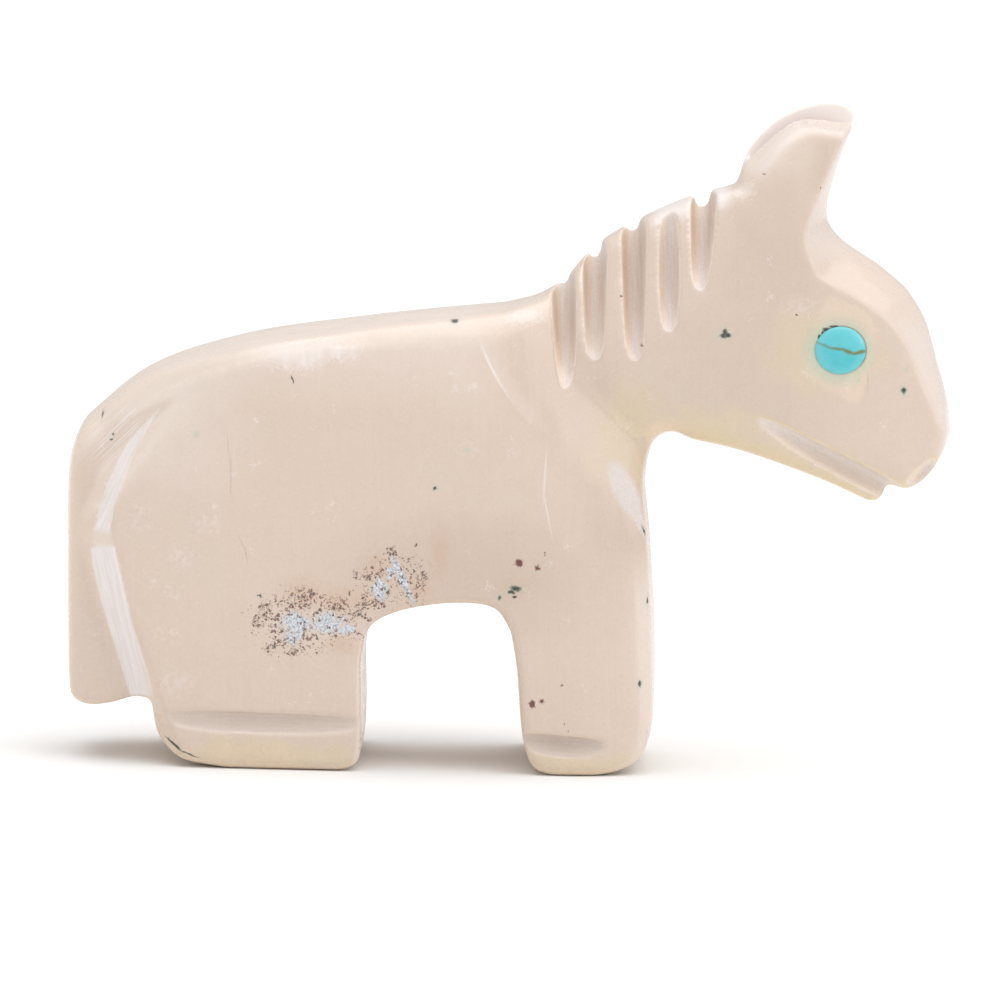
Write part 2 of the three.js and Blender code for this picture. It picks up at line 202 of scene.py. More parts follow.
# The ridge at the back of the thigh: a place on each of its straight parts, the way it faces, and how
# steeply the wall behind it falls
THIGH_RIDGE = (
    ((-20.3, 18.95), 148, 1.7), ((-21.4, 16.5), 158, 1.9), ((-22.15, 14.2), 170, 2.1),
    ((-22.25, 12.7), 184, 1.5), ((-21.4, 9.5), 197.5, 1.25), ((-20.4, 5.9), 193, 1.15),
)

# How blunt the rims of the wheels are, from 1 for a pointed rim up
MANE_WHEEL = 3.6
MOUTH_WHEEL = 2.8
HIND_WHEEL = 4.0
FORE_WHEEL = 2.2
# How finely a wheel is turned: the length of its facets, and the fewest and the most of them
WHEEL_FACET = 0.3
WHEEL_FACETS = (64, 720)
# How much of the surface's bulge under a groove its wheel makes up for
BULGE_SHARE = 0.8

# The other grooves: both ends, the depth, the width, how blunt the wheel is and how far its deepest
# line leans
OTHER_GROOVES = (
    (MOUTH, 0.6, 1.15, MOUTH_WHEEL, 0.4),
    (NOSTRIL, 0.72, 0.8, MOUTH_WHEEL, 0.0),
    (HIND_HOOF, 0.3, 1.15, HIND_WHEEL, 0.7),
    (FORE_HOOF, 0.4, 1.1, FORE_WHEEL, 0.6),
)

# Places of the profile that are rubbed down before the grooves are cut: the place, how far round it,
# how often, and whether only the outside of the right ear is rubbed
RUBBED_PLACES = (
    ((-23.2, 19.2), 4.5, 60, False),
    ((-22.7, 12.7), 2.2, 50, False),
    ((22.8, 25.0), 3.2, 30, False),
    ((22.2, 27.5), 1.8, 25, False),
    ((18.6, 30.2), 2.6, 40, False),
    ((14.2, 35.9), 2.6, 70, True),
    ((16.9, 37.0), 2.6, 70, True),
)

# The right ear's top is cut a little lower than the left's, along this line, and falls outwards
RIGHT_EAR_TOP = (
    (12.9, 34.55), (13.5, 35.22), (14.54, 36.2), (15.64, 37.0), (16.31, 37.14), (18.62, 36.97),
    (19.8, 36.9),
)
EAR_TOP_FALL = 0.3

# A hollow ground behind the shoulder. It starts along a crisp arc and fades out towards the neck
HOLLOW_CENTRE = (10.3, 29.1)
HOLLOW_RADIUS = 13.0
HOLLOW_DEPTH = 0.13
# How quickly it deepens inside the arc, where it fades out again, and the soft lower and upper ends of
# the arc, as angles in degrees
HOLLOW_CRISPNESS = 0.5
HOLLOW_FADE = (0.3, 4)
HOLLOW_LOWER_END = (19, 25)
HOLLOW_UPPER_END = (42, 58)

# How finely the stone is worked, in millimetres: the outline, the ground sides, the rough form before
# its grooves are cut, and the finished surface
OUTLINE_STEP = 0.35
EASING_ROUNDS = 6
NEIGHBOURS = 2.5
SIDE_STEP = 0.3
ROUGH_GRAIN = 0.17
FINE_GRAIN = 0.13
# The profile's edges are rubbed back by no more than this share of the room to the next edge
ROOM_SHARE = 0.7
QUICK_LOOK = 1.0
MOST_TRIANGLES = 190000


class HorseSizes(bpy.types.PropertyGroup):
    """The sizes that the carver chose"""
    flank: bpy.props.FloatProperty(
        name="Flank", description="Thickness at the flank, before its ridges are rubbed down",
        default=13.6 * MM, unit="LENGTH", precision=4)
    tail: bpy.props.FloatProperty(
        name="Tail", description="Thickness of the tail", default=8.6 * MM, unit="LENGTH", precision=4)
    foreleg: bpy.props.FloatProperty(
        name="Foreleg", description="Thickness where the foreleg's front facet starts",
        default=13.0 * MM, unit="LENGTH", precision=4)
    cheek: bpy.props.FloatProperty(
        name="Cheek", description="Thickness of the head at the cheeks",
        default=9.8 * MM, unit="LENGTH", precision=4)
    muzzle: bpy.props.FloatProperty(
        name="Muzzle", description="Thickness of the muzzle", default=7.6 * MM, unit="LENGTH", precision=4)
    mane: bpy.props.FloatProperty(
        name="Mane", description="Thickness of the crest of the mane",
        default=4.4 * MM, unit="LENGTH", precision=4)
    ear: bpy.props.FloatProperty(
        name="Ears", description="Thickness of the two ears together",
        default=5.4 * MM, unit="LENGTH", precision=4)
    groove_width: bpy.props.FloatProperty(
        name="Mane groove width", description="Width of a groove of the mane",
        default=1.15 * MM, unit="LENGTH", precision=4)
    groove_depth: bpy.props.FloatProperty(
        name="Mane groove depth", description="Depth of a groove of the mane",
        default=1.0 * MM, unit="LENGTH", precision=4)
    slot_width: bpy.props.FloatProperty(
        name="Ear slot width", description="Width of the slot between the ears",
        default=0.9 * MM, unit="LENGTH", precision=4)
    slot_depth: bpy.props.FloatProperty(
        name="Ear slot depth", description="Depth of the slot between the ears",
        default=3.9 * MM, unit="LENGTH", precision=4)
    eye: bpy.props.FloatProperty(
        name="Eye", description="Diameter of a turquoise plug", default=2.86 * MM, unit="LENGTH", precision=4)
    eye_dome: bpy.props.FloatProperty(
        name="Eye dome", description="Height of the plug's polished dome",
        default=0.28 * MM, unit="LENGTH", precision=4)
    glue_line: bpy.props.FloatProperty(
        name="Glue line", description="Gap round the plug in its socket",
        default=0.0 * MM, unit="LENGTH", precision=4)


class HorseFinish(bpy.types.PropertyGroup):
    """The colours of the stones"""
    stone: bpy.props.FloatVectorProperty(
        name="Stone", description="The cream of the polished stone", subtype="COLOR", size=4,
        min=0, max=1, default=(0.645, 0.526, 0.441, 1))
    warm: bpy.props.FloatVectorProperty(
        name="Warm stone", description="The warmer tone of its soft clouds", subtype="COLOR", size=4,
        min=0, max=1, default=(0.67, 0.515, 0.41, 1))
    # Also laid as painted light on the back, on faces turned up or forward, on the backs of the ears, the
    # rump and the thigh's walls
    chalk_and_painted_light: bpy.props.FloatVectorProperty(
        name="Chalky stone", description="Unpolished and scuffed places", subtype="COLOR", size=4,
        min=0, max=1, default=(0.79, 0.70, 0.64, 1))
    speck: bpy.props.FloatVectorProperty(
        name="Specks", description="Dark grains in the stone", subtype="COLOR", size=4,
        min=0, max=1, default=(0.055, 0.06, 0.05, 1))
    rust: bpy.props.FloatVectorProperty(
        name="Rust specks", description="Red-brown grains in the stone", subtype="COLOR", size=4,
        min=0, max=1, default=(0.15, 0.055, 0.045, 1))
    # Besides the bands, scuffs and flecks, white is laid as painted highlights along the rims of the grooves,
    # on the top of the crest, on the front of the head, along the hollow and the foreleg, and on the back and
    # withers
    white: bpy.props.FloatVectorProperty(
        name="White scuffs", description="The bands and lines that were left white", subtype="COLOR", size=4,
        min=0, max=1, default=(0.84, 0.79, 0.785, 1))
    scuff: bpy.props.FloatVectorProperty(
        name="Chest scuff", description="The grey white scuff on the chest", subtype="COLOR", size=4,
        min=0, max=1, default=(0.66, 0.61, 0.60, 1))
    # Yellow is also painted on the jaw's underside, by the way it faces, as the light from below
    yellow: bpy.props.FloatVectorProperty(
        name="Yellow stone", description="The tone of the throat and the jaw", subtype="COLOR", size=4,
        min=0, max=1, default=(0.68, 0.56, 0.37, 1))
    peach: bpy.props.FloatVectorProperty(
        name="Peach stone", description="Edges where the light comes through", subtype="COLOR", size=4,
        min=0, max=1, default=(0.86, 0.68, 0.52, 1))
    # Painted light: the pale stone lightens the left ear's inner side, which lies in the slot's shade
    pale: bpy.props.FloatVectorProperty(
        name="Pale stone", description="The inner side of the ear, where the light comes through",
        subtype="COLOR", size=4, min=0, max=1, default=(0.88, 0.80, 0.765, 1))
    ground: bpy.props.FloatVectorProperty(
        name="Ground stone", description="The floors of the grooves", subtype="COLOR", size=4,
        min=0, max=1, default=(0.70, 0.615, 0.57, 1))
    ground_light: bpy.props.FloatVectorProperty(
        name="Ground stone, paler", description="The pale lines in the floors of the grooves",
        subtype="COLOR", size=4, min=0, max=1, default=(0.75, 0.675, 0.63, 1))
    green: bpy.props.FloatVectorProperty(
        name="Green halo", description="The faint green round some grains and the eye", subtype="COLOR",
        size=4, min=0, max=1, default=(0.44, 0.53, 0.42, 1))
    stain: bpy.props.FloatVectorProperty(
        name="Stain", description="The brown stain near the belly", subtype="COLOR", size=4,
        min=0, max=1, default=(0.56, 0.37, 0.25, 1))
    # Mostly painted shade on the belly, the shoulder, the chest, under the jaw and in the hoof grooves; it
    # also darkens the neck and the cheek, and the grain of the groove floors
    shade: bpy.props.FloatVectorProperty(
        name="Darker stone", description="The tone of the belly, the cheek and the neck", subtype="COLOR",
        size=4, min=0, max=1, default=(0.52, 0.41, 0.335, 1))
    crystal: bpy.props.FloatVectorProperty(
        name="Crystal", description="The bluish white patch near the belly", subtype="COLOR", size=4,
        min=0, max=1, default=(0.44, 0.46, 0.495, 1))
    crystal_light: bpy.props.FloatVectorProperty(
        name="Crystal, paler", description="The white grains in the crystal", subtype="COLOR", size=4,
        min=0, max=1, default=(0.665, 0.69, 0.735, 1))
    turquoise: bpy.props.FloatVectorProperty(
        name="Turquoise", description="The colour of the eyes", subtype="COLOR", size=4,
        min=0, max=1, default=(0.05, 0.455, 0.51, 1))
    turquoise_light: bpy.props.FloatVectorProperty(
        name="Light turquoise", description="The paler part of the eyes", subtype="COLOR", size=4,
        min=0, max=1, default=(0.19, 0.62, 0.67, 1))
    vein: bpy.props.FloatVectorProperty(
        name="Vein", description="The brown vein in the turquoise", subtype="COLOR", size=4,
        min=0, max=1, default=(0.175, 0.17, 0.035, 1))


class HorseStudio(bpy.types.PropertyGroup):
    """The camera and the light"""
    camera_distance: bpy.props.FloatProperty(
        name="Camera distance", description="From the camera to the middle of the figure",
        default=0.34, unit="LENGTH")
    camera_height: bpy.props.FloatProperty(
        name="Camera elevation", description="How far above the horizon the camera stands",
        default=math.radians(6), subtype="ANGLE")
    camera_roll: bpy.props.FloatProperty(
        name="Camera roll", description="How far the camera leans, so that the ground falls to the right",
        default=math.radians(1.3), subtype="ANGLE")
    view_width: bpy.props.FloatProperty(
        name="View width", description="Width of the picture at the figure",
        default=56.95 * MM, unit="LENGTH", precision=4)
    floor: bpy.props.FloatVectorProperty(
        name="Floor", description="The pale floor", subtype="COLOR", size=4,
        min=0, max=1, default=(0.9, 0.9, 0.9, 1))
    sky: bpy.props.FloatProperty(
        name="Room light", description="Strength of the even white light", default=0.62, min=0)


def flat_place(place):
    """A drawn place as x and z in millimetres, at the length that the frame gives."""
    share = CARVING_LENGTH / MM / DRAWN_LENGTH
    return np.array(place) * share


def in_mm(size):
    return size / MM


# Shaping by hand

def deselect_all():
    if bpy.context.mode != "OBJECT":
        bpy.ops.object.mode_set(mode="OBJECT")
    bpy.ops.object.select_all(action="DESELECT")


def make_active(piece):
    deselect_all()
    piece.select_set(True)
    bpy.context.view_layer.objects.active = piece


def edit_all():
    bpy.ops.object.mode_set(mode="EDIT")
    bpy.ops.mesh.select_all(action="SELECT")


def leave_edit():
    bpy.ops.object.mode_set(mode="OBJECT")


def add_sheet(name, places):
    """A grid whose vertices are moved to `places`, rows by columns by three."""
    rows, columns = places.shape[:2]
    deselect_all()
    bpy.ops.mesh.primitive_grid_add(x_subdivisions=columns - 1, y_subdivisions=rows - 1)
    sheet = bpy.context.object
    sheet.name = name
    if len(sheet.data.vertices) != rows * columns:
        raise RuntimeError(f"{name}: the grid has {len(sheet.data.vertices)} vertices")
    sheet.data.vertices.foreach_set("co", places.astype(np.float32).ravel())
    sheet.data.update()
    return sheet


def add_tube(name, rings):
    """A closed solid through rings of points, each ring running round the solid."""
    closed = np.concatenate([rings, rings[:, :1]], axis=1)
    tube = add_sheet(name, closed)
    edit_all()
    bpy.ops.mesh.remove_doubles(threshold=1e-5)
    bpy.ops.mesh.select_all(action="SELECT")
    bpy.ops.mesh.fill_holes(sides=0)
    bpy.ops.mesh.select_all(action="SELECT")
    bpy.ops.mesh.normals_make_consistent(inside=False)
    leave_edit()
    return tube


def add_lathe(name, rim, segments, centre, axle, away, squat=1.0):
    """A turned solid: `rim` holds each ring's radius and its place along the axle. A squat one is
    lower along `away` than across it."""
    third = axle.cross(away)
    turn = np.linspace(0, 2 * math.pi, segments, endpoint=False)
    spokes = squat * np.cos(turn)[:, None] * np.array(away) + np.sin(turn)[:, None] * np.array(third)
    rings = [np.array(centre) + along * np.array(axle) + radius * spokes for radius, along in rim]
    return add_tube(name, np.array(rings))


def use_modifier(piece, kind, **settings):
    make_active(piece)
    bpy.ops.object.modifier_add(type=kind)
    modifier = piece.modifiers[-1]
    for key, value in settings.items():
        setattr(modifier, key, value)
    bpy.ops.object.modifier_apply(modifier=modifier.name)


def cut(piece, tool, operation="DIFFERENCE"):
    """Cuts the piece with the tool, and clears the tool away."""
    use_modifier(piece, "BOOLEAN", object=tool, operation=operation, solver="MANIFOLD")
    if not len(piece.data.polygons):
        raise RuntimeError(f"nothing was left of {piece.name} after {tool.name}")
    bpy.data.objects.remove(tool)


# The form of the sides

def soft_min(a, b, soft):
    """The smaller of two heights, with the ridge between them rubbed down."""
    near = np.maximum(soft - np.abs(a - b), 0)
    return np.minimum(a, b) - near * near / (4 * soft)


def soft_max(a, b, soft):
    return -soft_min(-a, -b, soft)


def facet(at, towards, half, fall):
    """A plane ground on the side: its half thickness at a place, and its fall in a direction."""
    angle = math.radians(towards)
    return {"at": flat_place(at), "way": (math.cos(angle), math.sin(angle)), "half": half, "fall": fall}


def facet_height(plane, x, z):
    beyond = (x - plane["at"][0]) * plane["way"][0] + (z - plane["at"][1]) * plane["way"][1]
    return plane["half"] - plane["fall"] * beyond


def smooth_step(values, low, high):
    share = np.clip((values - low) / (high - low), 0, 1)
    return share * share * (3 - 2 * share)


def shoulder_hollow(x, z):
    """The depth of the hollow behind the shoulder."""
    centre = flat_place(HOLLOW_CENTRE)
    inside = HOLLOW_RADIUS - np.hypot(x - centre[0], z - centre[1])
    angle = np.degrees(np.arctan2(centre[1] - z, centre[0] - x))
    window = smooth_step(angle, *HOLLOW_LOWER_END) * (1 - smooth_step(angle, *HOLLOW_UPPER_END))
    start = 1 - np.exp(-np.maximum(inside, 0) / HOLLOW_CRISPNESS)
    depth = start * (1 - smooth_step(inside, *HOLLOW_FADE))
    return HOLLOW_DEPTH * depth * window


class Sides:
    """The two ground sides of the stone, as half its thickness at any place."""

    def __init__(self, sizes):
        flank = in_mm(sizes.flank) / 2
        foreleg = in_mm(sizes.foreleg) / 2
        cheek = in_mm(sizes.cheek) / 2
        self.widest = in_mm(sizes.flank)
        self.body = (
            facet((-8, 14), 90, flank, 0.01),
            facet((-16.5, 14), 180, flank, 0.12),
            facet((-8, 21.5), 90, flank, 0.28),
            facet((-18.6, 20), 140, flank - 0.8, 0.55),
            facet((-8, 8), 270, flank, 0.05),
            facet((0.2, 21.4), 35, flank, 0.75),
            facet((5.1, 10), 0, foreleg, 0.42),
            facet((3.4, 16.5), 40, foreleg, 0.35),
        )
        self.head = (
            facet((4, 22), 10, flank - 0.7, 0.07),
            facet((18.4, 24.2), 50, cheek + 0.2, 0.06),
            facet((8.5, 31.6), 121, in_mm(sizes.mane) / 2 + 0.3, 0.45),
            facet((24.6, 19.5), -5, in_mm(sizes.muzzle) / 2, 0.28),
            facet((15, 18.4), 250, cheek - 0.4, 0.4),
            facet((16.8, 36.2), 100, in_mm(sizes.ear) / 2, 0.42),
        )
        self.thigh_walls = []
        for at, towards, fall in THIGH_RIDGE:
            self.thigh_walls.append(facet(at, towards, float(self.ground(*flat_place(at))), fall))
        self.tail_sides = (
            facet((-23, 12), 180, in_mm(sizes.tail) / 2, 0.05),
            facet((-19.6, 20.4), 225, flank - 1.35, 0.28),
        )

    def ground(self, x, z):
        """Half the thickness before the tail is cut back."""
        mass = []
        for planes, soft in ((self.body, SOFT_BODY), (self.head, SOFT_HEAD)):
            height = facet_height(planes[0], x, z)
            for plane in planes[1:]:
                height = soft_min(height, facet_height(plane, x, z), soft)
            mass.append(height)
        return soft_max(mass[0], mass[1], HOLLOW) - shoulder_hollow(x, z)

    def wall(self, x, z):
        return np.min([facet_height(plane, x, z) for plane in self.thigh_walls], axis=0)

    def beside_tail(self, x, z):
        return np.maximum(*[facet_height(plane, x, z) for plane in self.tail_sides])

    def half(self, x, z):
        """Half the thickness of the stone."""
        return np.minimum(self.ground(x, z), np.maximum(self.wall(x, z), self.beside_tail(x, z)))

    def on_side(self, place, side):
        x, z = flat_place(place)
        return Vector((x, side * float(self.ground(x, z)), z))

    def normal(self, place, side):
        x, z = flat_place(place)
        step = 0.5
        along_x = float(self.ground(x + step, z) - self.ground(x - step, z)) / (2 * step)
        along_z = float(self.ground(x, z + step) - self.ground(x, z - step)) / (2 * step)
        return Vector((-along_x, side, -along_z)).normalized()


# The profile

def curve_through(places, span, share):
    """A place on the smooth curve through some places, a share of the way along one span."""
    before = places[span - 1] if span else 2 * places[0] - places[1]
    start = places[span]
    end = places[span + 1]
    after = places[span + 2] if span + 2 < len(places) else 2 * places[-1] - places[-2]
    gap_in = max(np.linalg.norm(start - before) ** 0.5, 1e-4)
    gap = max(np.linalg.norm(end - start) ** 0.5, 1e-4)
    gap_out = max(np.linalg.norm(after - end) ** 0.5, 1e-4)
    leave = (start - before) / gap_in - (end - before) / (gap_in + gap) + (end - start) / gap
    arrive = (end - start) / gap - (after - start) / (gap + gap_out) + (after - end) / gap_out
    leave = leave * gap
    arrive = arrive * gap
    cubic = 2 * start - 2 * end + leave + arrive
    square = 3 * end - 3 * start - 2 * leave - arrive
    return cubic * share ** 3 + square * share ** 2 + leave * share + start


def value_along(values, share):
    return np.interp(share, np.linspace(0, 1, len(values)), values)


def profile_points():
    """The profile's points, with each one's crown and round."""
    points, crowns, rounds = [], [], []
    for stretch in PROFILE:
        places = [flat_place(place) for place in stretch["through"]]
        spans = len(places) - 1
        for span in range(spans):
            pieces = math.ceil(np.linalg.norm(places[span + 1] - places[span]) / OUTLINE_STEP)
            for i in range(pieces):
                share = (span + i / pieces) / spans
                points.append(curve_through(places, span, i / pieces))
                crowns.append(value_along(stretch["crown"], share))
                rounds.append(value_along(stretch["round"], share))
    return np.array(points), np.array(crowns), np.array(rounds)


def inward_and_room(points):
    """Each point's direction into the stone, and how far it can go before the outline folds."""
    run = np.roll(points, -1, axis=0) - np.roll(points, 1, axis=0)
    run /= np.linalg.norm(run, axis=1)[:, None]
    inward = np.stack([run[:, 1], -run[:, 0]], axis=1)
    for _ in range(EASING_ROUNDS):
        inward = inward + 0.5 * (np.roll(inward, 1, axis=0) + np.roll(inward, -1, axis=0))
        inward /= np.linalg.norm(inward, axis=1)[:, None]
    gap = points[None, :, :] - points[:, None, :]
    ahead = (gap * inward[:, None, :]).sum(axis=2)
    square = (gap * gap).sum(axis=2)
    across = (ahead > 1e-6) & (square > NEIGHBOURS ** 2)
    reach = np.where(across, square / (2 * np.maximum(ahead, 1e-6)), np.inf)
    return inward, reach.min(axis=1)


def add_slab(sides):
    """The profile through the thickness of the stone, crowned and rounded at its edges."""
    points, crowns, rounds = profile_points()
    inward, room = inward_and_room(points)
    edge = points + inward * rounds[:, None]
    half = sides.half(edge[:, 0], edge[:, 1])
    rounds = np.minimum(rounds, half / 2)
    most = ROOM_SHARE * room
    levels = []
    for share in (0, 0.25, 0.5, 0.75):
        levels.append((share * (half - rounds), np.zeros_like(half)))
    for angle in (0, 15, 30, 45, 60, 75):
        turn = math.radians(angle)
        levels.append((half - rounds * (1 - math.sin(turn)), rounds * (1 - math.cos(turn))))
    levels.append((np.full_like(half, sides.widest), levels[-1][1]))
    rings = []
    for side, rows in ((-1, levels[:0:-1]), (1, levels)):
        for height, rubbed in rows:
            inset = np.minimum(crowns * np.minimum(1, height / half) ** 2 + rubbed, most)
            place = points + inward * inset[:, None]
            rings.append(np.stack([place[:, 0], side * height, place[:, 1]], axis=1))
    return add_tube("slab", np.array(rings))


def add_block(sides):
    """The two ground sides, wider and higher than the slab."""
    low, high = (v / MM for v in CARVING_BOX)
    margin = 2
    x = np.arange(low.x - margin, high.x + margin, SIDE_STEP)
    z = np.arange(low.z - margin, high.z + margin, SIDE_STEP)
    x, z = np.meshgrid(x, z)
    half = np.maximum(sides.ground(x, z), 1)
    block = add_sheet("block", np.stack([x, -half, z], axis=2))
    edit_all()
    bpy.ops.mesh.extrude_region_move()
    leave_edit()
    places = read_vectors(block, "co")
    far_side = np.zeros(len(places), bool)
    block.data.vertices.foreach_get("select", far_side)
    places[far_side, 1] *= -1
    block.data.vertices.foreach_set("co", places.ravel())
    block.data.update()
    edit_all()
    bpy.ops.mesh.normals_make_consistent(inside=False)
    leave_edit()
    return block


def add_recess(sides, wall, side):
    """What is ground away beside the tail, outside one wall of the thigh."""
    size = 30
    middle = sides.tail_sides[0]["at"]
    deselect_all()
    bpy.ops.mesh.primitive_cube_add(size=size, location=(middle[0], side * size / 2, middle[1]))
    recess = bpy.context.object
    recess.name = "recess"
    bpy.ops.object.transform_apply(location=True, rotation=False, scale=False)
    for plane in (wall, *sides.tail_sides):
        edit_all()
        bpy.ops.mesh.bisect(
            plane_co=(plane["at"][0], side * plane["half"], plane["at"][1]),
            plane_no=(plane["fall"] * plane["way"][0], side, plane["fall"] * plane["way"][1]),
            use_fill=True, clear_inner=True, clear_outer=False)
        leave_edit()
    return recess


def add_wheel(start, end, out, depth, width, blunt, lean=0.0, bulge=0.0):
    """A grinding wheel that cuts from one place on the surface to another, deepest halfway.
    Its rim is rounded, and its deepest line leans towards one edge of the cut. Where the surface
    bulges between the two places, the wheel is larger, so that it goes no deeper."""
    chord = end - start
    along = chord.normalized()
    away = (out - along * out.dot(along)).normalized()
    sink = max(depth - bulge, 0.1)
    radius = (chord.length_squared / 4 + sink * sink) / (2 * sink)
    centre = (start + end) / 2 + away * (radius - sink)
    half = width / 2
    rim = []
    for share in np.linspace(-1.5, 1.5, 25):
        off = (share - lean) / (1 + lean if share < lean else 1 - lean)
        rim.append((radius - depth * abs(off) ** blunt, share * half))
    segments = int(np.clip(2 * math.pi * radius / WHEEL_FACET, *WHEEL_FACETS))
    return add_lathe("wheel", rim, segments, centre, along.cross(away), away)


def up_the_side(normal):
    """The steepest way up a side, square to its normal."""
    up = Vector((0, 0, 1))
    return (up - normal * up.dot(normal)).normalized()


def add_drill(sides, sizes, side):
    """The drill for an eye's socket."""
    radius = in_mm(sizes.eye / 2 + sizes.glue_line)
    depth = EYE_DEPTH + in_mm(sizes.glue_line)
    normal = sides.normal(EYE_PLACE, side)
    rim = [(radius, -depth), (radius, 2)]
    return add_lathe("drill", rim, 64, sides.on_side(EYE_PLACE, side), normal, up_the_side(normal), EYE_SQUAT)


def cut_grooves(carving, sides, sizes):
    """The grooves that the wheels cut, on both sides."""
    for side in (-1, 1):
        out = Vector((0, side, 0))
        for start, end, short in MANE_GROOVES:
            x, z = flat_place(end)
            top = Vector((x, side * short, z))
            bottom = sides.on_side(start, side)
            middle = sides.on_side(((start[0] + end[0]) / 2, (start[1] + end[1]) / 2), side)
            bulge = (middle - (top + bottom) / 2).length * BULGE_SHARE
            cut(carving, add_wheel(bottom, top, out, in_mm(sizes.groove_depth),
                                   in_mm(sizes.groove_width), MANE_WHEEL, 0.0, bulge))
        for (start, end), depth, width, blunt, lean in OTHER_GROOVES:
            cut(carving, add_wheel(sides.on_side(start, side), sides.on_side(end, side), out,
                                   depth, width, blunt, side * lean))


def drill_sockets(carving, sides, sizes):
    """The sockets of the eyes, with their rims kept sharp."""
    reach = in_mm(sizes.eye)
    for side in (-1, 1):
        cut(carving, add_drill(sides, sizes, side))
        centre = sides.on_side(EYE_PLACE, side)
        make_active(carving)
        edit_all()
        bpy.ops.mesh.select_all(action="DESELECT")
        bpy.ops.mesh.select_mode(type="EDGE")
        bpy.ops.mesh.edges_select_sharp(sharpness=math.radians(50))
        leave_edit()
        for edge in carving.data.edges:
            if edge.select:
                start = carving.data.vertices[edge.vertices[0]].co
                edge.use_edge_sharp = edge.use_edge_sharp or (start - centre).length < reach


def add_ear_top():
    """What is ground off the top of the right ear."""
    line = np.array([flat_place(place) for place in RIGHT_EAR_TOP])
    clear = 6.0
    slot_side = -0.3
    above = line[::-1] + np.array([0, clear])
    rings = []
    for y in (-clear, slot_side):
        low = line + np.array([0, EAR_TOP_FALL * y])
        outline = np.concatenate([low, above])
        rings.append(np.stack([outline[:, 0], np.full(len(outline), y), outline[:, 1]], axis=1))
    return add_tube("ear top", np.array(rings))


def soften(piece, place, reach, rounds, outer_right):
    """Rubs the stone down round a place of the profile, most in the middle."""
    centre = flat_place(place)
    places = read_vectors(piece, "co")
    off = np.hypot(places[:, 0] - centre[0], places[:, 2] - centre[1])
    weights = 1 - smooth_step(off, reach * 0.4, reach)
    if outer_right:
        weights = weights * smooth_step(-places[:, 1], 0.7, 1.5)
    group = piece.vertex_groups.new(name="soften")
    for level in range(1, 11):
        chosen = np.nonzero(np.ceil(weights * 10) == level)[0]
        group.add(chosen.tolist(), level / 10, "REPLACE")
    use_modifier(piece, "SMOOTH", factor=0.5, iterations=rounds, vertex_group=group.name)
    piece.vertex_groups.clear()


def cut_ears_and_legs(carving, sizes):
    """The slot between the ears, and the groove that parts the forelegs."""
    x, z = flat_place(EAR_TIPS)
    wheel = 8
    depth = in_mm(sizes.slot_depth)
    half = in_mm(sizes.slot_width) / 2
    centre = Vector((x, 0, z + wheel - depth))
    cut(carving, add_lathe("slot wheel", [(wheel, -half), (wheel, half)], 256, centre,
                           Vector((0, 1, 0)), Vector((1, 0, 0))))
    x, z = flat_place(LEG_PARTING_MIDDLE)
    radius = 0.7
    depth = 0.5
    length = 12.4
    rim = []
    for end in (-1, 1):
        for angle in (-80, -60, -40, -20, 0):
            turn = math.radians(angle)
            rim.append((radius * math.cos(turn), end * (length / 2 - radius - radius * math.sin(turn))))
    rim.sort(key=lambda ring: ring[1])
    cut(carving, add_lathe("parting", rim, 48, Vector((x + radius - depth, 0, z)),
                           Vector((0, 0, 1)), Vector((1, 0, 0))))


def nearest_depths(piece, rough):
    """How far each vertex of the piece lies from the surface of the rough form."""
    tree = BVHTree.FromObject(rough, bpy.context.evaluated_depsgraph_get())
    return np.array([tree.find_nearest(v.co)[3] for v in piece.data.vertices])


def read_vectors(piece, name):
    """The place or the normal of each vertex."""
    vectors = np.zeros(len(piece.data.vertices) * 3, np.float32)
    piece.data.vertices.foreach_get(name, vectors)
    return vectors.reshape(-1, 3)


def write_attribute(piece, name, values):
    layer = piece.data.attributes.new(name, "FLOAT", "POINT")
    layer.data.foreach_set("value", values.astype(np.float32))


def edge_standing_out(piece, places):
    """How far each vertex stands out from its neighbours, averaged over a few rounds."""
    edges = np.zeros(len(piece.data.edges) * 2, np.int32)
    piece.data.edges.foreach_get("vertices", edges)
    first, second = edges.reshape(-1, 2).T
    count = np.zeros(len(places))
    np.add.at(count, first, 1)
    np.add.at(count, second, 1)

    def average(values):
        total = np.zeros_like(values)
        np.add.at(total, first, values[second])
        np.add.at(total, second, values[first])
        return total / (count if values.ndim == 1 else count[:, None])

    normals = read_vectors(piece, "normal")
    wide = places.astype(float)
    for _ in range(4):
        wide = average(wide)
    stands = ((places - wide) * normals).sum(axis=1)
    for _ in range(3):
        stands = average(stands)
    return stands


def to_metres(piece):
    """Brings a finished piece from millimetres to metres, with its object at the origin."""
    make_active(piece)
    piece.scale = (MM, MM, MM)
    bpy.ops.object.transform_apply(location=True, rotation=True, scale=True)


